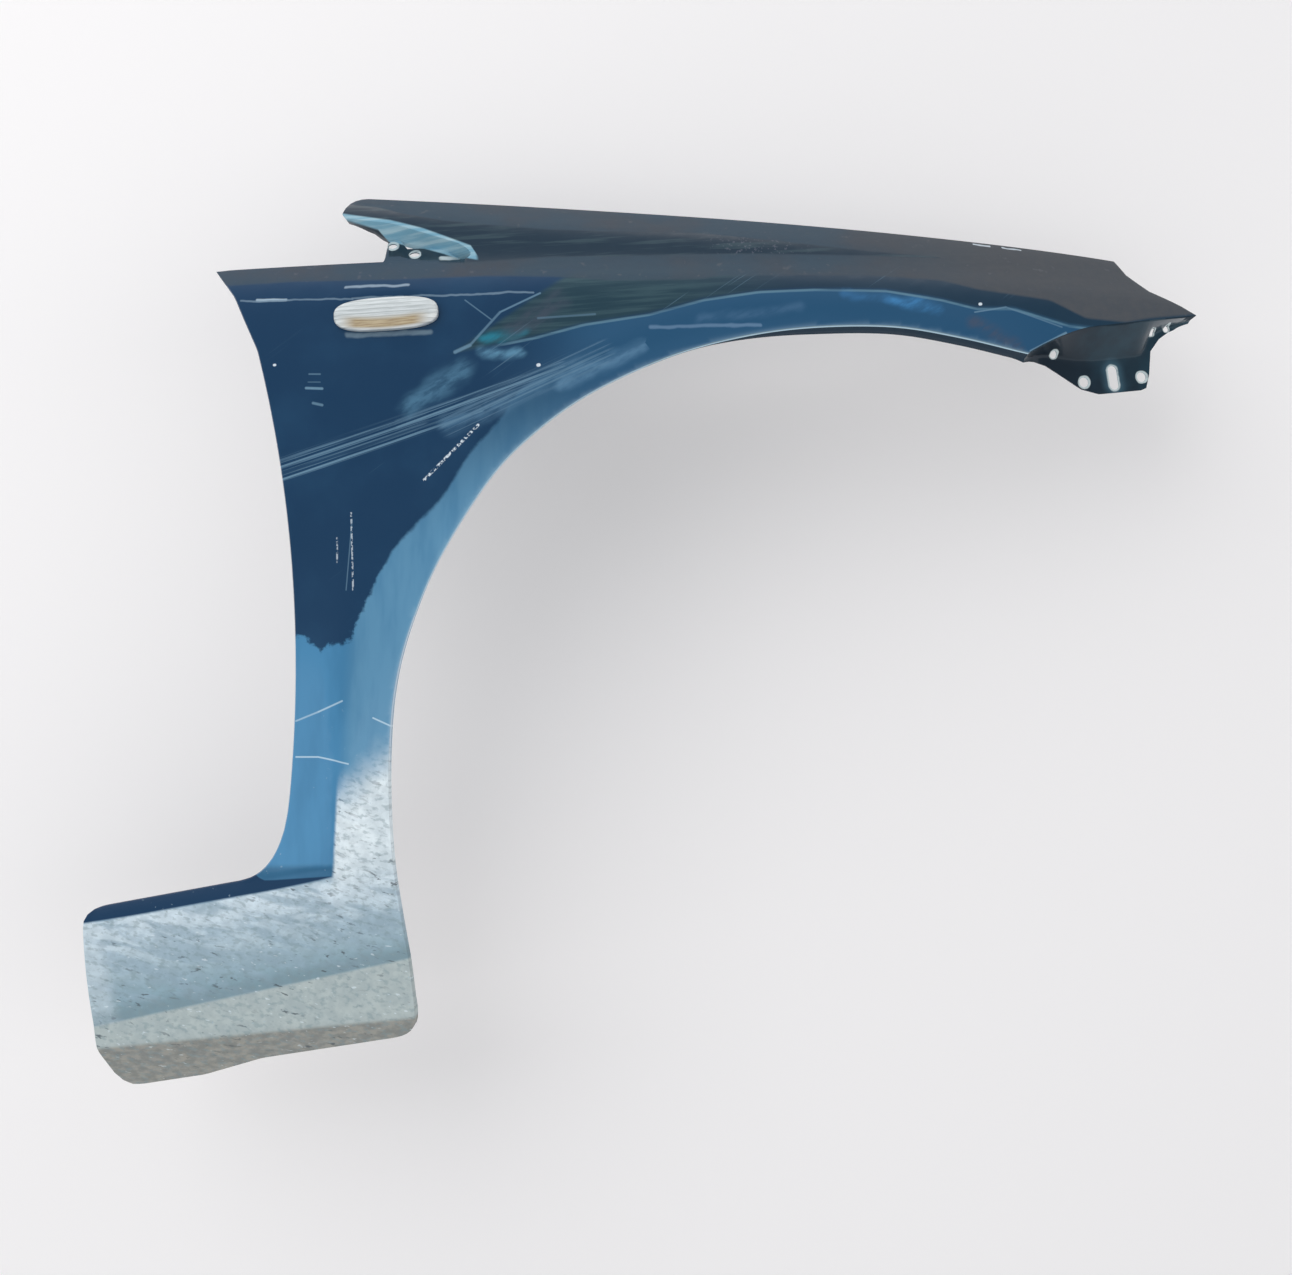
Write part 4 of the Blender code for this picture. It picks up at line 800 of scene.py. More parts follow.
def rail_point(x, share):
    """A point of the hood rail flange, share of the way to its inboard edge."""
    edge = float(depth(x, crest_height(x)))
    return x, edge + FOLD + RAIL_WALL_LEAN + RAIL_FLANGE * share, rail_height(x)


def rail_pitch(x):
    """Forward direction along the flat stretch of the rail flange at x."""
    return Vector((SHEET, 0, rail_height(x + SHEET) - rail_height(x))).normalized()


def web_point(x, z):
    """A point of the notch web at a height, and the web's upward direction."""
    edge_z = float(shoulder_top_height(x))
    edge_y = float(depth(x, edge_z))
    rows = notch_floor_flange(x, edge_y, edge_z)
    low = np.array(rows[1])
    high = np.array(rows[2])
    share = (z - low[2]) / (high[2] - low[2])
    return tuple(low + (high - low) * share), Vector(high - low).normalized()


def sill_flange_point(x):
    """A point of the flange under the sill; the flange is level ahead of its step."""
    xs, heights = np.array((SILL_HEEL, SILL_FOOT_REAR, SILL_FOOT_MIDDLE, SILL_FOOT_FRONT)).T
    edge_z = float(np.interp(x, xs, heights))
    return x, float(depth(x, edge_z)) + SILL_FOOT_FLANGE * SILL_HOLE_IN_share, edge_z - FOLD / 2


def hole_cutters():
    forward = Vector((1, 0, 0))
    inboard = Vector((0, 1, 0))
    cutters = []
    for x, along, half in (*((x, None, 0.0) for x in RAIL_HOLES_X), (RAIL_SLOT_X, forward, RAIL_SLOT_HALF)):
        axis = rail_pitch(x).cross(inboard)
        cutters.append(prism(rail_point(x, RAIL_HOLE_IN_share), axis, RAIL_HOLE_RADIUS, along, half))
    upward = Vector((0, 0, 1))
    for (x, z), radius, half in BUMPER_CUTS:
        centre = (x, bumper_flange_depth(x), z)
        cutters.append(prism(centre, inboard, radius, upward, half, reach=2 * CUT_HALF))
    for place, radius in ((TAB_HOLE, TAB_HOLE_RADIUS), (WEB_HOLE, WEB_HOLE_RADIUS)):
        centre, up = web_point(*place)
        cutters.append(prism(centre, up.cross(forward), radius, reach=CUT_HALF / 2))
    for x in SILL_HOLES_X:
        cutters.append(prism(sill_flange_point(x), upward, SILL_HOLE_RADIUS))
    return cutters


def lamp_hole_cutter(seat):
    half_sizes = (LAMP_HOLE_LENGTH / 2, LAMP_HOLE_HEIGHT / 2)
    return loft([oval(seat, *half_sizes, out, LAMP_STEPS) for out in (-CUT_HALF, CUT_HALF)])


# Side repeater lamp


def lamp_seat():
    """The lamp's own directions on the flat seat: along, up and out of the skin."""
    x, z = LAMP_CENTRE
    slope_x, slope_z = seat_slopes()
    out = Vector((slope_x, -1, slope_z)).normalized()
    along = Vector((math.cos(LAMP_TILT), 0, math.sin(LAMP_TILT)))
    along = (along - out * along.dot(out)).normalized()
    up = out.cross(along)
    origin = Vector((x, float(form_depth(x, z)), z))
    return Matrix((along, up, out)).transposed().to_4x4(), origin


def oval(seat, half_length, half_height, out, steps):
    """A ring of points about the lamp's axis."""
    turn, origin = seat
    ring = []
    for i in range(steps):
        u, v = oval_point(math.tau * i / steps, half_length, half_height)
        ring.append(origin + turn @ Vector((u, v, out)))
    return ring


def loft(rings):
    """A closed shape through the rings, with its first and last ring capped."""
    count = len(rings[0])
    vertices = [p for ring in rings for p in ring]
    faces = []
    for low in range(0, len(vertices) - count, count):
        for i in range(count):
            j = (i + 1) % count
            faces.append((low + i, low + j, low + count + j, low + count + i))
    faces.append(tuple(reversed(range(count))))
    faces.append(tuple(range(len(vertices) - count, len(vertices))))
    return vertices, faces


def lens_rings(seat, wall):
    """Rings up one side of the lens dome, wall inside the outer face."""
    base = GASKET_THICKNESS + PIECE_GAP
    half_length = LENS_LENGTH / 2 - wall
    half_height = LENS_HEIGHT / 2 - wall
    rings = [oval(seat, half_length, half_height, base, LENS_STEPS)]
    for share in LENS_RING_shares:
        angle = share * math.pi / 2
        edge = (1 - math.cos(angle)) * LENS_CROWN_share * half_height
        out = base + LENS_RIM - wall + (LENS_DOME - LENS_RIM) * math.sin(angle)
        rings.append(oval(seat, half_length - edge, half_height - edge, out, LENS_STEPS))
    return rings


# Fine skin

FINE_EDGE = 0.0050
FINE_SKIN = 0.0062
FINE_ROUND = 0.0016
FINE_ROUND_STEPS = 3
FINE_ROUND_share = 0.4
FINE_FLANGE_STEP = 0.007
LIP_EDGE_share = 0.72
JOIN_REACH = 3
JOIN_WINDOW = 2
SKIN_SHARP = math.radians(38)
LENS_SHARP = math.radians(40)


def model_shift():
    """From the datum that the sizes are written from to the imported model's origin."""
    x, y, z = rail_point(RAIL_MOUNT_X, RAIL_MOUNT_IN_share)
    pitch = rail_pitch(RAIL_MOUNT_X)
    return np.array([-x, -y, SHEET / pitch.x - z])


SHIFT = model_shift()


def rounded_rows(edge, rows):
    """Each flange profile with its bends rounded: rows of points from the edge outward."""
    path = np.concatenate([edge[:, None, :], rows], axis=1)
    count = path.shape[1]
    result = []
    for k in range(1, count - 1):
        before = path[:, k - 1] - path[:, k]
        after = path[:, k + 1] - path[:, k]
        before_length = np.linalg.norm(before, axis=1)[:, None]
        after_length = np.linalg.norm(after, axis=1)[:, None]
        reach = np.minimum(FINE_ROUND, FINE_ROUND_share * np.minimum(before_length, after_length))
        start = path[:, k] + before / before_length * reach
        end = path[:, k] + after / after_length * reach
        for i in range(FINE_ROUND_STEPS + 1):
            t = i / FINE_ROUND_STEPS
            result.append((1 - t) ** 2 * start + 2 * t * (1 - t) * path[:, k] + t * t * end)
        if k == count - 2:
            steps = max(1, int(np.max(after_length) / FINE_FLANGE_STEP))
            for i in range(1, steps + 1):
                result.append(end + (path[:, k + 1] - end) * i / steps)
        else:
            result.append((end + path[:, k + 1] - after / after_length * reach) / 2)
    return np.stack(result, axis=1)


def smooth_joins(offsets, names):
    """Evens out the flange offsets where one stretch of the edge meets the next."""
    count = len(names)
    result = offsets.copy()
    for join in range(count):
        if names[join] == names[join - 1]:
            continue
        for k in range(-JOIN_REACH, JOIN_REACH + 1):
            i = (join + k) % count
            window = [offsets[(i + m) % count] for m in range(-JOIN_WINDOW, JOIN_WINDOW + 1)]
            result[i] = np.mean(window, axis=0)
    return result


def fine_sheet():
    """Points and faces of the outer surface, and how near each point is to the lip's fold, where a highlight
    is painted.
    """
    loop, names, normals = outline(FINE_EDGE)
    flat, triangles = skin_triangles(loop, FINE_SKIN)
    skin = np.column_stack([flat[:, 0], depth(flat[:, 0], flat[:, 1]), flat[:, 1]])
    first = [int(np.argmin(np.hypot(*(flat - place).T))) for place in loop]
    edge = skin[first]
    rows = flange_rows(loop, names, normals, edge[:, 1])
    rows = edge[:, None, :] + smooth_joins(rows - edge[:, None, :], names)
    rows = rounded_rows(edge, rows)
    vertices = [*skin]
    faces = []
    for triangle in triangles:
        a, b, c = flat[triangle]
        turn = (b[0] - a[0]) * (c[1] - a[1]) - (b[1] - a[1]) * (c[0] - a[0])
        faces.append(tuple(triangle) if turn > 0 else tuple(triangle[::-1]))
    count = len(loop)
    base = len(vertices)
    for k in range(rows.shape[1]):
        vertices.extend(rows[:, k])
    ring = [first, *[list(range(base + k * count, base + (k + 1) * count)) for k in range(rows.shape[1])]]
    for inner, outer in zip(ring, ring[1:]):
        for i in range(count):
            j = (i + 1) % count
            faces.append((inner[i], inner[j], outer[j], outer[i]))
    fold = np.zeros(len(vertices))
    for i in range(count):
        if names[i] == "arch":
            fold[first[i]] = LIP_EDGE_share
            for k in range(FINE_ROUND_STEPS):
                fold[base + k * count + i] = 1
    return np.array(vertices) + SHIFT, faces, fold


def new_mesh(name, vertices, faces):
    mesh = bpy.data.meshes.new(name)
    mesh.from_pydata([tuple(v) for v in vertices], [], [tuple(int(i) for i in f) for f in faces])
    result = bpy.data.objects.new(name, mesh)
    bpy.context.collection.objects.link(result)
    return result


def apply_modifiers(item):
    evaluated = item.evaluated_get(bpy.context.evaluated_depsgraph_get())
    mesh = bpy.data.meshes.new_from_object(evaluated)
    item.modifiers.clear()
    item.data = mesh


def look_numbers(x, z):
    """Which of the skin's materials covers each place, as a place in PAINT_PARTS."""
    corner, flange = border(FLANGE_BORDER)
    numbers = np.where(x > spot(CROWN_SEAM, 330)[0], 1, 0)
    numbers[z > np.interp(x, *border(TOP_SEAM))] = 2
    numbers[(x > corner[0]) & (z < np.interp(x, corner, flange))] = 3
    numbers[z < LOOK_SPLIT] = 4
    return numbers


def border(pixels):
    return np.array([spot(*pixel) for pixel in pixels]).T


def build_skin(looks, inner_look):
    vertices, faces, fold = fine_sheet()
    skin = new_mesh("fender_skin", vertices, faces)
    for look in (*looks, inner_look):
        skin.data.materials.append(look)
    centres = np.array([face.center for face in skin.data.polygons]) - SHIFT
    numbers = look_numbers(centres[:, 0], centres[:, 2])
    skin.data.polygons.foreach_set("material_index", numbers.astype(np.int32))
    skin.data.attributes.new("fold", "FLOAT", "POINT").data.foreach_set("value", fold)
    thick = skin.modifiers.new("sheet", "SOLIDIFY")
    thick.thickness = SHEET
    thick.offset = -1
    thick.use_even_offset = True
    thick.material_offset = len(looks)
    points = []
    own = []
    for cut_points, cut_faces in [*hole_cutters(), lamp_hole_cutter(lamp_seat())]:
        own.extend(tuple(i + len(points) for i in face) for face in cut_faces)
        points.extend(np.array(p) + SHIFT for p in cut_points)
    cutter = new_mesh("cutter", points, own)
    cut = skin.modifiers.new("holes", "BOOLEAN")
    cut.operation = "DIFFERENCE"
    cut.solver = "EXACT"
    cut.object = cutter
    apply_modifiers(skin)
    bpy.data.objects.remove(cutter, do_unlink=True)
    skin.data.shade_smooth()
    skin.data.set_sharp_from_angle(angle=SKIN_SHARP)
    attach(skin, "root")
    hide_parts("fender_panel")


def build_lens(look):
    """The lens with finer facets than the model's."""
    seat = lamp_seat()
    points, faces = loft([*lens_rings(seat, LENS_WALL)[::-1], *lens_rings(seat, 0)])
    lens = new_mesh("repeater_lens_fine", np.array([tuple(p) for p in points]) + SHIFT, faces)
    lens.data.materials.append(look)
    lens.data.shade_smooth()
    lens.data.set_sharp_from_angle(angle=LENS_SHARP)
    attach(lens, "root")
    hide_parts("repeater_lens")


# Materials


class Tree:
    """A node tree, with one short way to add its nodes and one to join them."""

    def __init__(self, tree):
        self.nodes = tree.nodes
        self.links = tree.links

    def join(self, value, socket):
        if isinstance(value, bpy.types.NodeSocket):
            self.links.new(value, socket)
        else:
            socket.default_value = value

    def node(self, kind, *values, inputs=(), out=0, **settings):
        """One output of a new node, with its first inputs given in order and others by place or name."""
        new = self.nodes.new("ShaderNode" + kind)
        for name, value in settings.items():
            setattr(new, name, value)
        for place, value in [*enumerate(values), *dict(inputs).items()]:
            self.join(value, new.inputs[place])
        return new.outputs[out]


class Look(Tree):
    """One material, with short ways to work out its values. Points are in the datum's frame."""

    def __init__(self, name):
        self.material = bpy.data.materials.new(name)
        self.material.use_nodes = True
        super().__init__(self.material.node_tree)
        self.shader = self.nodes["Principled BSDF"]
        place = self.node("TexCoord", out="Object")
        self.point = self.vector("SUBTRACT", place, tuple(float(v) for v in SHIFT))
        self.normal = place.node.outputs["Normal"]
        self.x, _, self.z = self.parts(self.point)
        self.flat = None

    def parts(self, vector):
        return self.node("SeparateXYZ", vector).node.outputs

    def vector(self, operation, *values):
        out = 1 if operation in ("DOT_PRODUCT", "LENGTH") else 0
        return self.node("VectorMath", *values, operation=operation, out=out)

    def math(self, operation, *values, clamp=False):
        return self.node("Math", *values, operation=operation, use_clamp=clamp)

    def step(self, value, low, high, start=0.0, end=1.0):
        """A smooth ramp from start, where value is low, to end, where it is high."""
        return self.node("MapRange", value, low, high, start, end, interpolation_type="SMOOTHSTEP")

    def both(self, *shares):
        result = shares[0]
        for share in shares[1:]:
            result = self.math("MULTIPLY", result, share)
        return result

    def most(self, *shares):
        result = shares[0]
        for share in shares[1:]:
            result = self.math("MAXIMUM", result, share)
        return result

    def without(self, share):
        return self.math("SUBTRACT", 1.0, share)

    def mix(self, share, *colours):
        a, b = ((*colour, 1) if isinstance(colour, tuple) else colour for colour in colours)
        return self.node("Mix", inputs={0: share, 6: a, 7: b}, out=2, data_type="RGBA")

    def blend(self, share, a, b):
        return self.node("Mix", inputs={0: share, 2: a, 3: b})

    def noise(self, point, scale, detail=3.0, rough=0.55, bend=0.0):
        inputs = {"Scale": scale, "Detail": detail, "Roughness": rough, "Distortion": bend}
        return self.node("TexNoise", point, inputs=inputs)

    def wobbled(self, point, scale, amount):
        """The flat point moved a little, the same in x and z, so that an outline drawn with it bends."""
        tone = self.node("TexNoise", point, inputs={"Scale": scale, "Detail": 2}, out="Color")
        centred = self.vector("SUBTRACT", tone, (0.5, 0.5, 0.5))
        moved = self.vector("MULTIPLY", centred, (amount, 0, amount))
        return self.vector("ADD", self.flat_point(), moved)

    def stretched(self, first, second, along, across, shift=0.0):
        """A point whose grain runs along the line from first to second, in the side view."""
        dx, dz, _ = line_parts(first, second)
        away = self.vector("SUBTRACT", self.point, (first[0], 0, first[1]))
        u = self.vector("DOT_PRODUCT", away, (dx * along, 0, dz * along))
        v = self.vector("DOT_PRODUCT", away, (-dz * across, 0, dx * across))
        return self.node("CombineXYZ", u, v, shift)

    def line(self, first, second, width, soft=0.5, point=None):
        """One within width of the line between two points of the side view, fading to nothing."""
        dx, dz, length = line_parts(first, second)
        away = self.vector("SUBTRACT", point or self.flat_point(), (first[0], 0, first[1]))
        along = self.vector("DOT_PRODUCT", away, (dx / length, 0, dz / length))
        share = self.math("ADD", along, 0.0, clamp=True)
        gap = self.vector("MULTIPLY_ADD", (-dx * length, 0, -dz * length), share, away)
        return self.step(self.vector("LENGTH", gap), width * (1 - soft), width, 1.0, 0.0)

    def dot(self, place, radius, soft, point=None):
        """A round spot: a line of almost no length."""
        return self.line(place, (place[0] + SHEET, place[1]), radius, soft, point)

    def strokes(self, rows, *shares, marks=0.0, soft=0.7):
        """The strongest of marks and the rows: start and end in pixels, half width in pixels, strength."""
        for first, second, width, strength in rows:
            line = self.line(spot(*first), spot(*second), width * PIXEL, soft)
            marks = self.most(marks, self.both(line, *shares, strength))
        return marks

    def flat_point(self):
        if self.flat is None:
            self.flat = self.vector("MULTIPLY", self.point, (1, 0, 1))
        return self.flat

    def over(self, pixels):
        """Height over a line drawn through pixels of the photograph, in metres of the side view."""
        line = self.node("FloatCurve", inputs={"Value": self.math("ADD", self.x, CURVE_MIDDLE)})
        curve = line.node.mapping.curves[0]
        places = border(pixels).T + CURVE_MIDDLE
        curve.points[0].location = places[0]
        curve.points[1].location = places[-1]
        for place in places[1:-1]:
            curve.points.new(*place)
        for point in curve.points:
            point.handle_type = "VECTOR"
        line.node.mapping.update()
        return self.math("SUBTRACT", self.math("ADD", self.z, CURVE_MIDDLE), line)

    def below(self, rear, front, soft, above=0.0):
        """One below a straight line of the side view, raised by above; nothing over it."""
        slope = (front[1] - rear[1]) / (front[0] - rear[0])
        start = rear[1] - slope * rear[0] + above
        drop = self.vector("DOT_PRODUCT", self.point, (slope, 0, -1))
        return self.step(drop, -start - soft, -start + soft)

    def bump(self, height, strength, distance):
        normal = self.node("Bump", inputs={"Strength": strength, "Distance": distance, "Height": height})
        self.join(normal, self.shader.inputs["Normal"])

    def set(self, **values):
        for name, value in values.items():
            self.join(value, self.shader.inputs[name.replace("_", " ").title().replace("Ior", "IOR")])


def line_parts(first, second):
    dx = second[0] - first[0]
    dz = second[1] - first[1]
    length = max(math.hypot(dx, dz), SHEET)
    return dx / length, dz / length, length


# The photograph's view: its scale, roll, distance and middle pixel
PIXEL = 0.0008
VIEW_ROLL = math.radians(10)
CAMERA_DISTANCE = 1.436
VIEW_MIDDLE = (646, 637.5)
SPOT_ROUNDS = 4
CURVE_MIDDLE = 0.5


def spot(px, py):
    """Where a pixel of the photograph meets the panel, in the side view."""
    deep = 0.0
    for _ in range(SPOT_ROUNDS):
        scale = PIXEL * (CAMERA_DISTANCE + deep) / CAMERA_DISTANCE
        a = (px - VIEW_MIDDLE[0]) * scale
        b = (VIEW_MIDDLE[1] - py) * scale
        x = a * math.cos(VIEW_ROLL) + b * math.sin(VIEW_ROLL)
        z = b * math.cos(VIEW_ROLL) - a * math.sin(VIEW_ROLL)
        deep = float(depth(x, z))
    return x, z


NAVY = (0.0085, 0.0480, 0.1150)
NAVY_SPOTS = (0.0120, 0.0600, 0.1350)
# Painted reflections of the sky: light blue on the leg, paler in the flare's band
SKY_REFLECTION_BLUE = (0.075, 0.270, 0.480)
FLARE_REFLECTION_BLUE = (0.130, 0.320, 0.490)
CROWN_REFLECTION_BLUE = (0.022, 0.100, 0.205)
GREEN_SHADE = (0.019, 0.056, 0.076)
ARM_SHADE = (0.008, 0.030, 0.055)
# Gray of the bands that face up: dust with painted sheen
TOP_DUST_AND_SHEEN = (0.056, 0.088, 0.120)
TOP_DUST_AND_SHEEN_BROWN = (0.072, 0.084, 0.102)
PALE_DUST = (0.700, 0.810, 0.880)
SILL_DUST = (0.260, 0.395, 0.460)
STEP_DUST = (0.490, 0.550, 0.535)
FOOT_DUST = (0.270, 0.262, 0.225)
MUD = (0.090, 0.110, 0.120)
CHIP = (0.720, 0.800, 0.860)
RING = (0.600, 0.690, 0.700)
SCRATCH_AND_HIGHLIGHT = (0.170, 0.310, 0.430)
LIP_FOLD_HIGHLIGHT = (0.500, 0.700, 0.820)

# Borders of the bands of dust, painted sheen, painted reflection and painted shade, as pixels of the
# photograph from left to right
CREST_BORDER = (
    (343, 203), (378, 207), (404, 213.5), (442, 220), (487, 224.6), (551, 229.4), (614, 231),
    (700, 232.6), (795, 242.5), (868, 251), (941, 257), (965, 276), (1050, 300), (1086, 318), (1126, 322),
    (1150, 318), (1196, 314),
)
SHOULDER_UPPER_BORDER = (
    (216, 255), (400, 262), (471, 262.3), (551, 256.5), (614, 256), (700, 254), (759, 253.8),
    (868, 255.6), (941, 258), (975, 250), (1196, 230),
)
SHOULDER_LOWER_BORDER = (
    (216, 286), (238, 285), (296, 281.4), (391, 279.5), (487, 275.7), (551, 276.3), (614, 280.4),
    (700, 278.9), (723, 275), (868, 275), (941, 280), (977, 289), (1050, 300), (1086, 318), (1126, 322),
    (1150, 318), (1196, 314),
)
CREASE_LINE = (
    (465, 352), (535, 338), (583, 325), (650, 314.5), (704, 300), (759, 292), (814, 289.8), (886, 291),
    (941, 300), (977, 309), (1014, 309), (1068, 326), (1100, 330),
)
SKY_REFLECTION_BORDER = (
    (270, 632), (299, 636), (308, 640), (320, 650), (337, 643), (349, 636), (354, 629), (362, 610),
    (366, 600), (385, 562), (400, 540), (420, 520), (442, 498), (471, 451), (497, 422), (519, 390),
    (560, 362), (620, 340), (700, 320),
)
NOTCH_UPPER_BORDER = ((343, 213.5), (391, 220), (423, 228), (471, 245.4), (474, 250))
NOTCH_LOWER_BORDER = ((343, 218.5), (379, 228), (385, 238), (423, 245.4), (452, 255), (474, 259))
FLANGE_BORDER = ((1028, 354), (1065, 334), (1077, 329), (1100, 326), (1122, 325), (1157, 319), (1196, 317))
LEDGE_LOWER_BORDER = ((80, 924), (131, 916), (202, 903), (272, 890.5), (317, 881), (333, 877))
FILLET_BORDER = ((80, 868), (240, 868), (333, 868))
LEDGE_UPPER_BORDER = ((80, 860), (240, 862), (262, 880), (272, 880), (317, 877), (333, 876))

# Scratches, and among the first rows painted highlights and reflections of edges and creases, in pixels of the
# photograph: start, end, half width in pixels, strength
SCRATCHES_AND_HIGHLIGHTS = (
    ((465, 300), (492, 320), 1.0, 0.55),
    ((540, 293), (500, 312), 1.4, 0.75),
    ((500, 312), (470, 345), 1.8, 0.60),
    ((470, 345), (455, 352), 2.6, 0.80),
    ((538, 318), (595, 314), 1.6, 0.40),
    ((975, 312), (1006, 307), 1.2, 0.75),
    ((1006, 307), (1062, 327), 1.2, 0.55),
    ((352, 520), (346, 590), 0.9, 0.50),
    ((1031, 351), (1066, 333), 2.0, 1.00),
    ((309, 374), (320, 374), 1.2, 0.55),
    ((306, 388), (322, 388.5), 1.9, 0.95),
    ((308, 382), (320, 382), 0.9, 0.40),
    ((313, 403), (322, 405), 2.0, 0.70),
)
LEG_SCRATCHES = (
    ((296, 721), (318, 712), 1.3, 0.6),
    ((318, 712), (342, 701), 1.3, 0.8),
    ((296, 757), (318, 757), 1.2, 0.9),
    ((318, 757), (348, 764), 1.2, 0.9),
    ((373, 718), (395, 728), 1.2, 0.9),
)
DASHES = (
    ((337, 538), (337, 562), 1.2, 0.60),
    ((351, 513), (353, 590), 1.2, 0.65),
    ((424, 480), (478, 425), 1.9, 0.95),
)
CHIPS = ((538, 365, 2.2), (980, 304, 2.0), (254, 355, 1.5), (274, 365, 1.6))
STREAKS = (
    ((280, 466), (420, 418), 11, 0.75),
    ((400, 425), (560, 366), 9, 0.85),
    ((283, 478), (480, 410), 5, 0.90),
    ((450, 422), (600, 352), 18, 0.55),
)
# Painted reflections and highlights of the side: start, end, half width in pixels, tint, strength
PAINTED_REFLECTIONS = (
    ((257, 299.5), (285, 299.5), 2.2, (0.50, 0.64, 0.74), 0.95),
    ((346, 287), (409, 285), 2.2, (0.34, 0.44, 0.54), 0.85),
    ((241, 301), (353, 298.5), 1.5, (0.20, 0.30, 0.40), 0.70),
    ((353, 298), (533, 292), 1.6, (0.20, 0.30, 0.40), 0.75),
    ((482, 340), (526, 331), 9, (0.02, 0.24, 0.34), 0.90),
    ((480, 354), (522, 351), 9, (0.14, 0.34, 0.50), 0.85),
    ((412, 404), (462, 372), 19, (0.11, 0.27, 0.41), 0.75),
    ((515, 330), (560, 300), 16, (0.060, 0.085, 0.120), 0.90),
    ((450, 425), (592, 362), 17, (0.09, 0.21, 0.34), 0.70),
    ((560, 385), (640, 348), 12, (0.16, 0.33, 0.50), 0.60),
    ((650, 327), (760, 325), 2.8, (0.15, 0.27, 0.42), 0.80),
    ((700, 318), (800, 306), 9, (0.07, 0.17, 0.30), 0.70),
    ((888, 299), (938, 309), 10, (0.06, 0.26, 0.54), 0.95),
    ((845, 294), (890, 300), 8, (0.04, 0.17, 0.36), 0.80),
    ((972, 322), (1016, 346), 13, (0.062, 0.098, 0.165), 0.95),
    ((347, 335), (430, 332), 4.0, (0.20, 0.29, 0.36), 0.60),
)
TOP_SEAM = (
    (200, 240), (380, 252), (471, 268), (614, 268), (759, 264), (868, 265), (941, 268), (985, 272),
    (1050, 284), (1120, 300), (1196, 313),
)
LOOK_SPLIT = 0.05
CROWN_SEAM = 645
PAINT_PARTS = ("side_paint", "crown_paint", "top_paint", "flange_paint", "dusty_paint")
# How ragged the border of the painted reflection of the sky is, above which width a painted reflection is
# smeared, how lines and rings waver (grain and reach), and how far the rings of holes, the slot's ring and its
# halo reach, as shares of the radius
SKY_RAGGED = 0.026
SMEAR_WIDTH = 4
RIPPLE = (60, 0.004)
RING_RIPPLE = (150, 0.0016)
RING_shares = (1.42, 1.5, 3.4)
LIP_FOLD_POWER = 4.0

# Places between which looks fade, along x or z of the side view or, for the lamp, from its centre
RAGGED_FADE_Z = (0.12, 0.03)
SKY_FADE_Z = (0.25, 0.10)
FLARE_REFLECTION_EDGE = (-0.002, 0.012)
NOSE_DUST_AND_SHEEN_X = (0.18, 0.36)
CROWN_REFLECTION_X = (-0.080, 0.020)
FRONT_SHADE_X = (0.06, 0.18)
GLINT_START_X = (-0.085, -0.060)
FLECKS_START_X = (0.09, 0.14)
FLECKS_END_X = (0.20, 0.16)
NOTCH_FOOT_Z = (0.22, 0.24)
LEG_DUST_FADE = (0.112, 0.072)
DUST_TOP_Z = (0.05, 0.04)
SILL_TONE_Z = (-0.225, -0.150)
BAND_DUST_Z = (-0.17, -0.13)
REAR_EDGE_HIGHLIGHT_X = (-0.466, -0.480)
SPECKS_TOP_Z = (0.02, -0.05)
INNER_DIRT_Z = (0.05, -0.20)
AMBER_TOP = (-0.0005, -0.0065)
AMBER_FOOT = (-0.0126, -0.0100)
AMBER_END = (0.039, 0.022)
LENS_END = (0.034, 0.040)


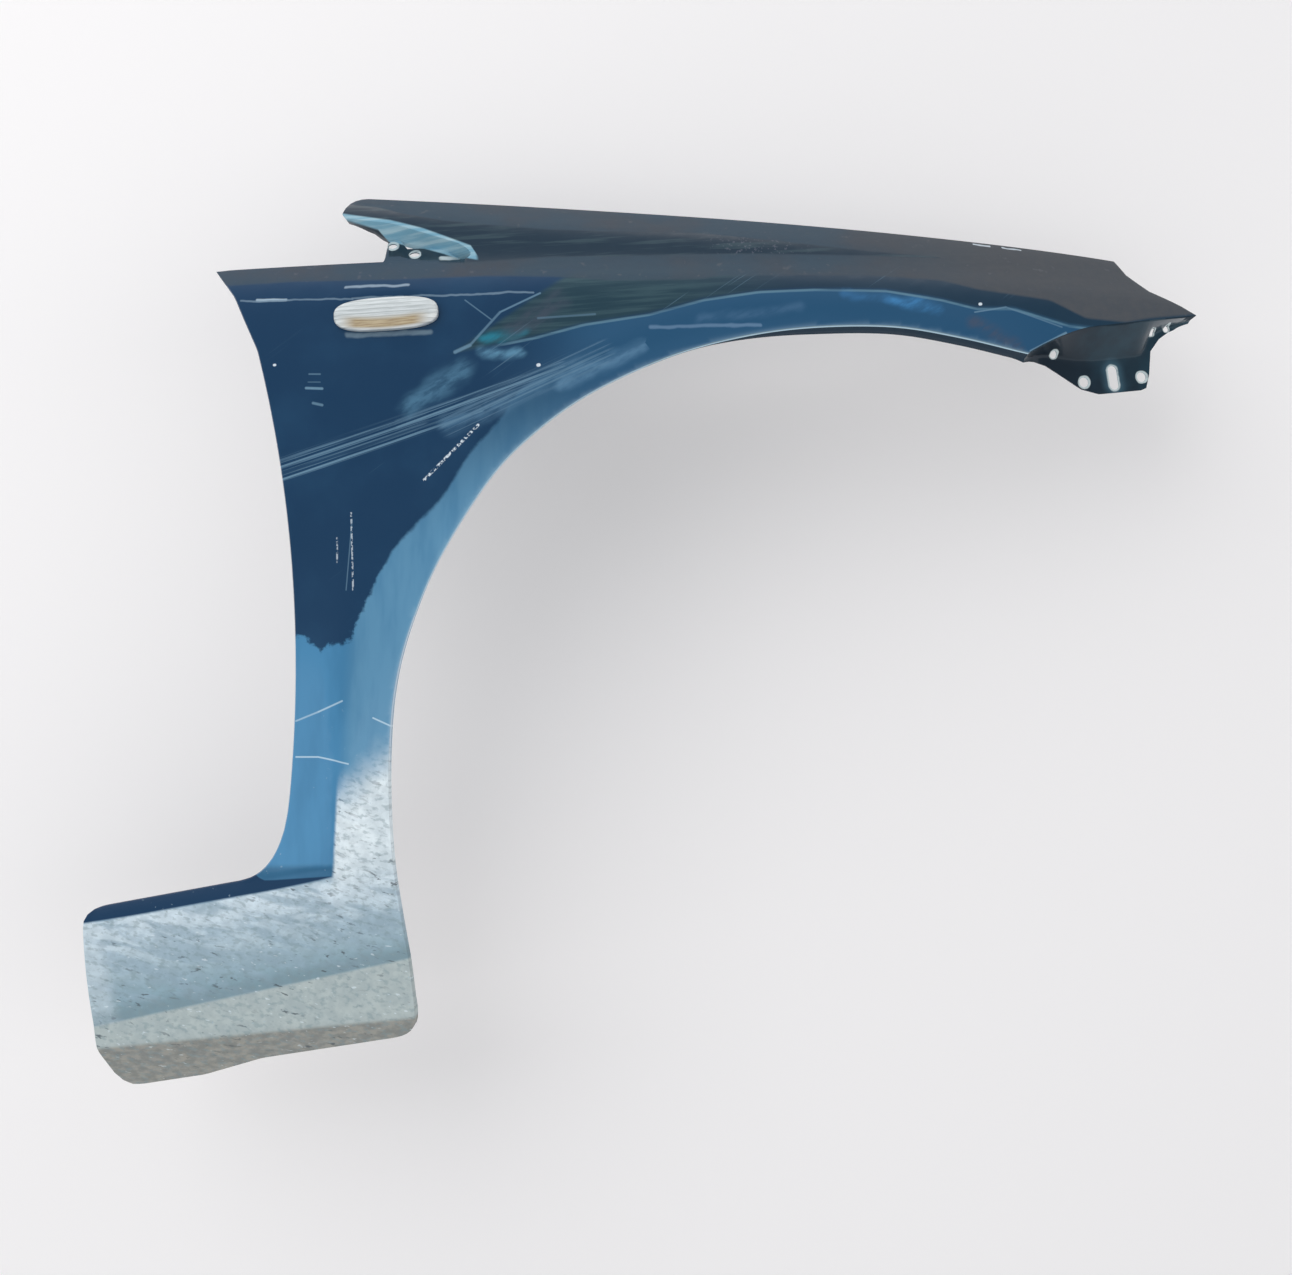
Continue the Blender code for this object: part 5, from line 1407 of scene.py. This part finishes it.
def paint(part):
    """Dark blue metallic paint with painted reflections, highlights and shade; each part of the skin has its
    own marks and dust.
    """
    look = Look(part)
    broad = look.noise(look.point, 14, 4)
    grain = look.noise(look.point, 120, 3)
    fine = look.noise(look.point, 900, 2)
    ragged = look.math("MULTIPLY_ADD", look.noise(look.point, 90, 4, 0.65), SKY_RAGGED, -SKY_RAGGED / 2)
    ragged = look.both(ragged, look.step(look.z, *RAGGED_FADE_Z, 0.25, 1.0))
    colour = look.mix(look.step(broad, 0.45, 0.75), NAVY, NAVY_SPOTS)
    # Painted reflection of the sky: light blue under a ragged border, paler in the flare's band, with darker
    # streaks
    sky = look.step(look.math("ADD", look.over(SKY_REFLECTION_BORDER), ragged), 0.002, -0.003)
    sky = look.both(sky, look.step(look.z, *SKY_FADE_Z, 0.10, 1.0))
    leg_base = FLARE_LEG_X - FLARE_LEG_HEIGHT * FLARE_LEG_SLOPE_share
    leg_line = look.math("MULTIPLY_ADD", look.z, FLARE_LEG_SLOPE_share, leg_base)
    past_leg = look.math("SUBTRACT", look.x, leg_line)
    reflection_streaks = look.noise(look.stretched((-0.24, -0.1), (-0.2, 0.1), 12, 60, 7.0), 1.0, 3)
    sky_reflection_colour = look.mix(look.step(past_leg, *FLARE_REFLECTION_EDGE, 0.0, 0.85), SKY_REFLECTION_BLUE, FLARE_REFLECTION_BLUE)
    sky_reflection_colour = look.mix(look.step(reflection_streaks, 0.40, 0.70, 0.0, 0.45), sky_reflection_colour, (0.050, 0.200, 0.370))
    colour = look.mix(sky, colour, sky_reflection_colour)
    if part in ("side_paint", "crown_paint"):
        colour, dull = side_marks(look, colour, grain, fine, broad, part == "crown_paint")
    elif part == "top_paint":
        colour, dull = top_marks(look, grain, broad)
    elif part == "flange_paint":
        colour, dull = flange_marks(look, grain, broad)
    else:
        colour, dull = lower_marks(look, colour, grain, broad, look.step(past_leg, -0.002, 0.002))
    clean = look.math("SUBTRACT", 1.0, dull, clamp=True)
    rough = look.blend(dull, look.step(broad, 0.3, 0.8, 0.28, 0.38), 0.80)
    look.set(base_color=colour, metallic=look.both(clean, 0.30), roughness=rough, specular_ior_level=0.25)
    look.set(coat_weight=look.both(clean, 0.35), coat_roughness=0.06)
    rough_height = look.blend(dull, look.both(fine, 0.06), look.both(look.math("ADD", grain, fine), 0.5))
    look.bump(rough_height, 0.35, 0.0006)
    return look.material


def dusted_and_sheened(look, colour, top_share, grain, broad):
    """Gray on the surfaces that face up, dust with painted sheen, browner toward the front; also how much
    there is.
    """
    dust = look.mix(look.step(broad, 0.4, 0.7), TOP_DUST_AND_SHEEN, TOP_DUST_AND_SHEEN_BROWN)
    dust = look.mix(look.step(look.x, *NOSE_DUST_AND_SHEEN_X), dust, (0.088, 0.094, 0.104))
    dust = look.mix(look.both(look.step(grain, 0.62, 0.75), 0.3), dust, (0.20, 0.20, 0.21))
    top_share = look.both(top_share, look.step(grain, 0.2, 0.7, 1.0, 0.85))
    return look.mix(top_share, colour, dust), top_share


def side_marks(look, colour, grain, fine, broad, front):
    """Painted reflections, highlights and shade, scratches and chips of the side, those ahead of the crown's
    seam or behind it.
    """
    level = look.noise(look.stretched((0, 0), (1, -0.10), 14, 240), 1.0, 3)
    crease = look.over(CREASE_LINE)
    # Painted reflection: the crown below the crease is a lighter blue
    crown = look.both(look.step(crease, 0.001, -0.001), look.step(look.x, *CROWN_REFLECTION_X))
    colour = look.mix(crown, colour, CROWN_REFLECTION_BLUE)
    # Painted shade and dark reflection on the strip above the crease, dark green, with lighter painted
    # reflections through it
    shade = look.step(crease, -0.001, 0.004)
    if not front:
        shade = look.both(shade, look.below(spot(455, 352), spot(540, 293), 0.003))
    shade_colour = look.mix(look.step(level, 0.4, 0.65), GREEN_SHADE, (0.042, 0.092, 0.110))
    shade_colour = look.mix(look.step(look.x, *FRONT_SHADE_X), shade_colour, (0.010, 0.036, 0.066))
    colour = look.mix(look.both(shade, 0.9), colour, shade_colour)
    rippled = look.wobbled(look.point, *RIPPLE)
    smeared = look.wobbled(look.point, 38, 0.014)
    patchy = look.noise(look.stretched((0, 0), (1, 0.35), 40, 130, 4.0), 1.0, 4, 0.6)
    patchy = look.step(patchy, 0.36, 0.62)
    # Painted reflections and highlights, smeared where they are wide
    for first, second, width, tint, strength in this_side(PAINTED_REFLECTIONS, front):
        soft, point, least = (1.0, smeared, 0.25) if width > SMEAR_WIDTH else (0.8, rippled, 0.8)
        share = look.line(spot(*first), spot(*second), width * PIXEL, soft, point)
        colour = look.mix(look.both(share, look.blend(patchy, least, strength)), colour, tint)
    glint = look.step(look.math("ABSOLUTE", crease), 0.0016, 0.0004)
    glint = look.both(glint, look.step(look.x, *GLINT_START_X), look.step(level, 0.3, 0.6, 0.3, 0.75))
    colour = look.mix(glint, colour, (0.150, 0.300, 0.400))

    marks = 0.0
    for row in this_side(STREAKS, front):
        grooves = look.noise(look.stretched(spot(*row[0]), spot(*row[1]), 3, 380), 1.0, 4, 0.7)
        marks = look.strokes([row], look.step(grooves, 0.47, 0.60), marks=marks)
    marks = look.strokes(this_side(SCRATCHES_AND_HIGHLIGHTS, front), marks=marks)
    scuffs = look.noise(look.stretched((-0.2, 0.1), (0.0, 0.2), 9, 500, 3.0), 1.0, 2)
    where = look.step(look.noise(look.point, 9, 2), 0.5, 0.62)
    scuffs = look.both(look.step(scuffs, 0.66, 0.74), where, 0.35)
    # Scratches and scuffs, with some painted highlights among them
    colour = look.mix(look.most(marks, scuffs), colour, SCRATCH_AND_HIGHLIGHT)

    broken = look.step(look.noise(look.point, 420, 2), 0.44, 0.54)
    chips = look.strokes(this_side(DASHES, front), broken, soft=0.6)
    for px, py, radius in CHIPS:
        if (px > CROWN_SEAM) == front:
            chips = look.most(chips, look.dot(spot(px, py), radius * PIXEL, 0.5))
    colour = look.mix(look.both(chips, look.step(fine, 0.2, 0.5, 0.7, 1.0)), colour, CHIP)
    top_share = look.step(look.over(SHOULDER_LOWER_BORDER), -0.0016, 0.0016)
    colour, top_share = dusted_and_sheened(look, colour, top_share, grain, broad)
    dull = look.most(top_share, look.both(chips, 0.8))
    if front:
        # Painted shade on faces that look down, such as the return flange under the lip
        downward_shade = look.step(look.parts(look.normal)[2], -0.30, -0.60)
        colour = look.mix(look.both(downward_shade, 0.9), colour, (0.006, 0.020, 0.034))
        dull = look.most(dull, downward_shade)
    # A painted highlight along the lip's fold
    return look.mix(look.both(lip_fold_highlight(look), 0.9), colour, LIP_FOLD_HIGHLIGHT), dull


def this_side(rows, front):
    """The rows that end on this side of the crown's seam."""
    return [row for row in rows if (row[1][0] > CROWN_SEAM) == front]


def top_marks(look, grain, broad):
    """Shoulder and crest gray with dust and painted sheen, the face between them in painted shade with painted
    reflections, the notch's step a painted reflection of the sky and its web in painted shade.
    """
    level = look.noise(look.stretched((0, 0), (1, -0.10), 14, 240), 1.0, 3)
    rippled = look.wobbled(look.point, *RIPPLE)
    crest = look.step(look.over(CREST_BORDER), -0.0012, 0.0012)
    arm = look.step(look.over(SHOULDER_UPPER_BORDER), -0.0012, 0.0012)
    # Painted shade on the face between shoulder and crest, with lighter streaks of painted reflection
    arm_colour = look.mix(look.step(level, 0.50, 0.66, 0.0, 0.6), ARM_SHADE, (0.045, 0.085, 0.105))
    flecks = look.step(look.noise(look.point, 330, 3), 0.58, 0.66)
    flecks = look.both(flecks, look.step(look.x, *FLECKS_START_X), look.step(look.x, *FLECKS_END_X), 0.5)
    arm_colour = look.mix(flecks, arm_colour, (0.16, 0.17, 0.22))
    colour, top_share = dusted_and_sheened(look, arm_colour, look.most(crest, look.without(arm)), grain, broad)
    worn_edge = look.most(
        look.line(spot(974, 243.5), spot(991, 246), 0.0011, 0.6, rippled),
        look.line(spot(1003, 247), spot(1021, 250.5), 0.0009, 0.6, rippled),
    )
    colour = look.mix(look.both(worn_edge, 0.8), colour, CHIP)

    behind = look.step(look.x, spot(478, 250)[0], spot(474, 250)[0])
    notch = look.step(look.over(NOTCH_UPPER_BORDER), 0.001, -0.001)
    notch = look.both(notch, behind, look.step(look.z, *NOTCH_FOOT_Z))
    strip = look.both(notch, look.step(look.over(NOTCH_LOWER_BORDER), -0.001, 0.001))
    # Painted shade in the notch's recess, over its web
    web = look.both(notch, look.step(look.z, spot(430, 263)[1], spot(430, 261)[1]))
    colour = look.mix(web, colour, (0.012, 0.028, 0.045))
    # Painted reflection of the sky on the notch's step: pale blue with brighter streaks
    strip_reflection_colour = look.mix(look.step(level, 0.35, 0.65), (0.20, 0.42, 0.55), (0.42, 0.62, 0.70))
    colour = look.mix(look.both(strip, 0.95), colour, strip_reflection_colour)
    rings = look.both(look.line(spot(442, 257.5), spot(456, 256.5), 0.0035, 0.5, rippled), 0.95)
    holes = ((TAB_HOLE, TAB_HOLE_RADIUS), (WEB_HOLE, TAB_HOLE_RADIUS))
    rings = hole_rings(look, rings, holes, look.wobbled(look.point, *RING_RIPPLE))
    colour = look.mix(look.both(rings, look.step(grain, 0.25, 0.45, 0.5, 0.95)), colour, RING)
    return colour, look.most(top_share, look.both(look.most(rings, strip), 0.8))


def hole_rings(look, rings, holes, point):
    """Rings, with those round the holes added."""
    for place, radius in holes:
        rings = look.most(rings, look.dot(place, radius * RING_shares[0], 0.15, point))
    return rings


def flange_marks(look, grain, broad):
    """The bumper flange in painted shade, with paint worn pale round its holes."""
    # Painted shade: the flange is much darker than the panel's blue
    colour = look.mix(look.step(broad, 0.4, 0.7), (0.006, 0.018, 0.032), (0.012, 0.048, 0.075))
    x, z = BUMPER_SLOT
    ends = ((x, z - BUMPER_SLOT_HALF), (x, z + BUMPER_SLOT_HALF))
    halo = look.line(*ends, BUMPER_HOLE_RADIUS * RING_shares[2], 0.9, look.wobbled(look.point, *RIPPLE))
    colour = look.mix(look.both(halo, 0.5), colour, (0.10, 0.22, 0.30))
    slightly = look.wobbled(look.point, *RING_RIPPLE)
    rings = look.line(*ends, BUMPER_HOLE_RADIUS * RING_shares[1], 0.25, slightly)
    holes = [(place, radius) for place, radius, half in BUMPER_CUTS if not half]
    rings = hole_rings(look, rings, holes, slightly)
    rings = look.both(rings, look.step(grain, 0.25, 0.45, 0.5, 0.95))
    return look.mix(rings, colour, RING), look.both(rings, 0.8)


# Share of the painted highlight along the lip's fold
def lip_fold_highlight(look):
    return look.math("POWER", look.node("Attribute", attribute_name="fold", out="Fac"), LIP_FOLD_POWER)


def lower_marks(look, colour, grain, broad, band):
    """Pale road dust in the flare's band and over the sill, with mud thrown down and back; a painted highlight
    along the lip and on the sill's rear edge, and painted shade on the ledge, beside it and above the sill's
    step.
    """
    colour = look.mix(look.strokes(LEG_SCRATCHES), colour, (0.50, 0.68, 0.80))
    # A paler painted highlight along the lip's fold on the leg
    colour = look.mix(look.both(lip_fold_highlight(look), 0.9), colour, (0.60, 0.74, 0.84))
    low_ledge = look.over(LEDGE_LOWER_BORDER)
    # Painted shade: a dark strip on the ledge, and the fillet beside it darkened
    strip = look.step(look.over(LEDGE_UPPER_BORDER), 0.0008, -0.0008)
    strip = look.both(strip, look.step(low_ledge, -0.0008, 0.0008), look.without(band))
    colour = look.mix(strip, colour, (0.010, 0.045, 0.105))
    fillet = look.both(look.step(look.over(FILLET_BORDER), 0.004, -0.002), look.without(strip), 0.55)
    colour = look.mix(fillet, colour, (0.020, 0.090, 0.170))
    ledge = look.step(low_ledge, 0.0010, -0.0014)
    cloudy = look.math("MULTIPLY_ADD", broad, 0.06, look.z)
    tilted = look.math("MULTIPLY_ADD", look.x, -0.55, cloudy)
    leg_fade = look.step(tilted, *LEG_DUST_FADE)
    dust = look.both(look.most(look.both(band, leg_fade), ledge), look.step(look.z, *DUST_TOP_Z))

    drift = ((-0.45, -0.10), (-0.25, -0.19))
    swirl = look.noise(look.stretched(*drift, 22, 90, 2.0), 1.0, 5, 0.6, 0.6)
    # The sill is painted lighter toward its top
    sill = look.mix(look.step(look.z, *SILL_TONE_Z), SILL_DUST, PALE_DUST)
    sill = look.mix(look.step(swirl, 0.42, 0.60, 0.0, 0.70), sill, (0.36, 0.48, 0.56))
    sill = look.mix(look.both(band, look.step(look.z, *BAND_DUST_Z)), sill, (0.84, 0.92, 0.95))
    # Painted highlight on the sill's rounded rear edge
    sill = look.mix(look.both(look.step(look.x, *REAR_EDGE_HIGHLIGHT_X), 0.6), sill, (0.66, 0.76, 0.82))
    # Painted shade in a band just above the sill's step
    below_step = look.below(SILL_STEP_REAR, SILL_STEP_FRONT, 0.0015)
    step_shade = look.below(SILL_STEP_REAR, SILL_STEP_FRONT, 0.006, 0.010)
    sill = look.mix(look.both(step_shade, look.without(below_step), 0.5), sill, (0.19, 0.27, 0.30))
    sill = look.mix(below_step, sill, STEP_DUST)
    # Under the turn the sill is painted darker and browner
    foot_colour = look.mix(look.step(grain, 0.35, 0.65), FOOT_DUST, (0.36, 0.35, 0.31))
    sill = look.mix(look.below(SILL_TURN_REAR, SILL_TURN_FRONT, 0.002), sill, foot_colour)
    sill = look.mix(look.step(grain, 0.35, 0.70, 0.25, 0.0), sill, (0.20, 0.26, 0.29))
    pitted = look.step(look.noise(look.stretched(*drift, 150, 260, 12.0), 1.0, 4), 0.50, 0.64, 0.0, 0.45)
    sill = look.mix(pitted, sill, (0.24, 0.32, 0.34))
    streaks = look.noise(look.stretched(*drift, 75, 240, 5.0), 1.0, 3, 0.6, 0.3)
    where = look.step(look.noise(look.point, 26, 3), 0.42, 0.60, 0.25, 1.0)
    splashed = look.line(spot(364, 790), spot(335, 925), 36 * PIXEL, 0.9)
    muddy = look.step(look.math("MULTIPLY_ADD", splashed, 0.055, streaks), 0.62, 0.68)
    white = look.step(look.noise(look.stretched(*drift, 120, 300, 9.0), 1.0, 2), 0.66, 0.72, 0.0, 0.55)
    sill = look.mix(white, sill, (0.74, 0.82, 0.86))
    sill = look.mix(look.both(muddy, where, 0.8), sill, MUD)
    dust_share = look.both(dust, look.step(swirl, 0.25, 0.75, 1.0, 0.92))
    colour = look.mix(dust_share, colour, sill)
    sparse = look.step(look.noise(look.point, 240, 2), 0.70, 0.76)
    sparse = look.both(sparse, look.step(look.z, *SPECKS_TOP_Z), 0.4)
    return look.mix(sparse, colour, (0.35, 0.48, 0.58)), look.most(dust_share, look.both(strip, 0.7))


def inner_paint():
    """Inside of the sheet: the same paint sprayed thin over primer, with dull dirt."""
    look = Look("inner_blue_primer")
    broad = look.noise(look.point, 18, 4)
    grain = look.noise(look.point, 260, 3)
    colour = look.mix(look.step(broad, 0.35, 0.65), (0.030, 0.085, 0.140), (0.060, 0.110, 0.150))
    low = look.step(look.z, *INNER_DIRT_Z)
    dirt = look.both(look.step(grain, 0.30, 0.60), look.blend(low, 0.25, 0.80))
    colour = look.mix(dirt, colour, (0.210, 0.200, 0.180))
    look.set(base_color=colour, metallic=0.15, roughness=look.step(grain, 0.3, 0.7, 0.50, 0.78))
    look.bump(grain, 0.4, 0.0005)
    return look.material


FLUTE_PITCH = 0.0034
AMBER_BOW = -2.4


def lens_look():
    """Clear fluted lens over a silvered reflector, amber from the bulb in its lower part."""
    look = Look("fluted_lens")
    x, z = LAMP_CENTRE
    up = (-math.sin(LAMP_TILT), 0, math.cos(LAMP_TILT))
    along = (math.cos(LAMP_TILT), 0, math.sin(LAMP_TILT))
    away = look.vector("SUBTRACT", look.point, (x, 0, z))
    v = look.vector("DOT_PRODUCT", away, up)
    u = look.vector("DOT_PRODUCT", away, along)
    flutes = look.math("SINE", look.math("MULTIPLY", v, math.tau / FLUTE_PITCH))
    ripple = look.noise(look.stretched((x, z), (x + along[0], z + along[2]), 60, 900), 1.0, 3)
    colour = look.mix(look.step(ripple, 0.35, 0.7), (0.80, 0.84, 0.84), (0.60, 0.64, 0.64))
    colour = look.mix(look.step(flutes, 0.35, 1.0, 0.0, 0.45), colour, (0.36, 0.39, 0.38))
    bowed = look.math("MULTIPLY_ADD", look.math("MULTIPLY", u, u), AMBER_BOW, v)
    inside = look.step(look.math("ABSOLUTE", look.math("ADD", u, 0.001)), *AMBER_END)
    amber = look.both(look.step(bowed, *AMBER_TOP), look.step(bowed, *AMBER_FOOT), inside)
    amber_colour = look.mix(look.step(ripple, 0.35, 0.65), (0.30, 0.20, 0.08), (0.50, 0.39, 0.22))
    colour = look.mix(look.both(amber, 0.95), colour, amber_colour)
    colour = look.mix(look.step(u, *LENS_END, 0.0, 0.5), colour, (0.86, 0.87, 0.84))
    look.set(base_color=colour, metallic=look.both(look.without(amber), 0.25))
    look.set(roughness=look.step(ripple, 0.3, 0.7, 0.10, 0.22), coat_weight=1.0, coat_roughness=0.03)
    look.bump(flutes, 0.25, 0.0004)
    return look.material


def moulded(name, first, second, metallic, rough, scale, depth_of_bump):
    """A moulded or stamped piece: two close tones, uneven gloss and a fine grain."""
    look = Look(name)
    broad = look.noise(look.point, scale / 8, 3)
    grain = look.noise(look.point, scale, 3)
    colour = look.mix(look.step(broad, 0.35, 0.65), first, second)
    colour = look.mix(look.step(grain, 0.55, 0.75, 0.0, 0.25), colour, tuple(c * 0.6 for c in first))
    rough = look.step(grain, 0.3, 0.7, rough - 0.06, rough + 0.08)
    look.set(base_color=colour, metallic=metallic, roughness=rough)
    look.bump(grain, 0.5, depth_of_bump)
    return look.material


def bulb_look():
    look = Look("amber_glass")
    swirl = look.noise(look.point, 300, 2)
    colour = look.mix(look.step(swirl, 0.4, 0.6), (0.80, 0.30, 0.04), (0.70, 0.24, 0.03))
    look.set(base_color=colour, roughness=look.step(swirl, 0.3, 0.7, 0.04, 0.12), transmission_weight=0.6)
    look.bump(swirl, 0.1, 0.0002)
    return look.material


build_skin([paint(part) for part in PAINT_PARTS], inner_paint())
build_lens(lens_look())

# Looks of the model's own nodes: name of the material, two tones, metal, roughness, grain and bump
BRASS = ((0.74, 0.58, 0.28), (0.58, 0.42, 0.18), 1.0, 0.30, 500, 0.0001)
MOULDED_NODES = {
    "repeater_gasket": ("foam_rubber", (0.02, 0.02, 0.02), (0.032, 0.032, 0.032), 0.0, 0.85, 900, 0.0006),
    "repeater_holder_seal": ("seal_rubber", (0.024, 0.024, 0.025), (0.04, 0.04, 0.04), 0, 0.7, 700, 0.0002),
    "repeater_housing": ("reflector_plastic", (0.72, 0.73, 0.75), (0.6, 0.61, 0.63), 0.75, 0.24, 240, 0.0001),
    "repeater_bulb_holder": ("black_plastic", (0.022, 0.022, 0.024), (0.034, 0.034, 0.036), 0, 0.5, 800, 2e-4),
    "repeater_terminal_1": ("terminal_brass", *BRASS),
    "repeater_terminal_2": ("terminal_brass_2", *BRASS),
    "repeater_spring_clip": ("spring_steel", (0.46, 0.46, 0.47), (0.36, 0.36, 0.37), 0.95, 0.32, 400, 0.0001),
}
node_looks = {name: moulded(*values) for name, values in MOULDED_NODES.items()}
node_looks["repeater_bulb"] = bulb_look()
for node_name, node_look in node_looks.items():
    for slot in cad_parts[node_name].material_slots:
        slot.link = "OBJECT"
        slot.material = node_look

# Stage, lights and camera

WALL_Y = 0.12
WALL_HALF = 3.0
wall_corners = [(x * WALL_HALF, 0, z * WALL_HALF) for x, z in ((-1, -1), (1, -1), (1, 1), (-1, 1))]
wall = new_mesh("backdrop", wall_corners, [(0, 1, 2, 3)])
wall.location = (0, WALL_Y, 0)


def wall_look():
    """Pale and matt in front, with the shadow; nothing from behind, so that it hides no view."""
    material = bpy.data.materials.new("backdrop")
    material.use_nodes = True
    tree = Tree(material.node_tree)
    shader = tree.nodes["Principled BSDF"]
    shader.inputs["Base Color"].default_value = (0.975, 0.945, 0.935, 1)
    shader.inputs["Roughness"].default_value = 1.0
    shader.inputs["Specular IOR Level"].default_value = 0.0
    behind = tree.node("NewGeometry", out="Backfacing")
    choice = tree.node("MixShader", behind, shader.outputs[0], tree.node("BsdfTransparent"))
    tree.join(choice, tree.nodes["Material Output"].inputs["Surface"])
    return material


wall.data.materials.append(wall_look())

# Tones of the surround from straight below to straight above
WORLD_TONES = (
    (0.00, (0.75, 0.75, 0.76)),
    (0.30, (1.00, 1.00, 1.00)),
    (0.475, (1.25, 1.27, 1.30)),
    (0.487, (0.30, 0.34, 0.38)),
    (0.60, (0.26, 0.30, 0.34)),
    (0.72, (0.55, 0.58, 0.62)),
    (1.00, (0.95, 0.97, 1.00)),
)


def studio_world():
    """Soft surround: light below, a dim band above a ragged skyline, brighter overhead."""
    world = bpy.data.worlds.new("studio")
    world.use_nodes = True
    tree = Tree(world.node_tree)
    place = tree.node("TexCoord", out="Generated")
    wave = tree.node("TexNoise", place, inputs={"Scale": 9, "Detail": 5})
    ragged = tree.node("Math", wave, -0.06, tree.node("SeparateXYZ", place, out=2), operation="MULTIPLY_ADD")
    tones = tree.node("ValToRGB", tree.node("MapRange", ragged, -1.0, 1.0))
    points = tones.node.color_ramp.elements
    for position, tone in WORLD_TONES[1:-1]:
        points.new(position).color = (*tone, 1)
    points[0].color = (*WORLD_TONES[0][1], 1)
    points[-1].color = (*WORLD_TONES[-1][1], 1)
    background = tree.nodes["Background"].inputs
    tree.join(tones, background["Color"])
    tree.join(0.95, background["Strength"])
    bpy.context.scene.world = world


studio_world()

KEY_PLACE = Vector((-1.6, -2.4, 1.6))
KEY_AIM = Vector((-0.1, 0.0, -0.3))
key_data = bpy.data.lights.new("key", "AREA")
key_data.size = 2.8
key_data.energy = 40
key = bpy.data.objects.new("key", key_data)
bpy.context.collection.objects.link(key)
key.visible_glossy = False
key.location = KEY_PLACE
key.rotation_euler = (KEY_AIM - KEY_PLACE).to_track_quat("-Z", "Y").to_euler()

camera_data = bpy.data.cameras.new("camera")
camera_data.lens = 50
camera_data.sensor_width = 36
camera = bpy.data.objects.new("camera", camera_data)
bpy.context.collection.objects.link(camera)
right = Vector((math.cos(VIEW_ROLL), 0, -math.sin(VIEW_ROLL)))
up = Vector((math.sin(VIEW_ROLL), 0, math.cos(VIEW_ROLL)))
back = Vector((0, -1, 0))
turn = Matrix((right, up, back)).transposed().to_4x4()
camera.matrix_world = Matrix.Translation(Vector(SHIFT) + back * CAMERA_DISTANCE) @ turn
bpy.context.scene.camera = camera
bpy.context.scene.view_settings.view_transform = "Standard"
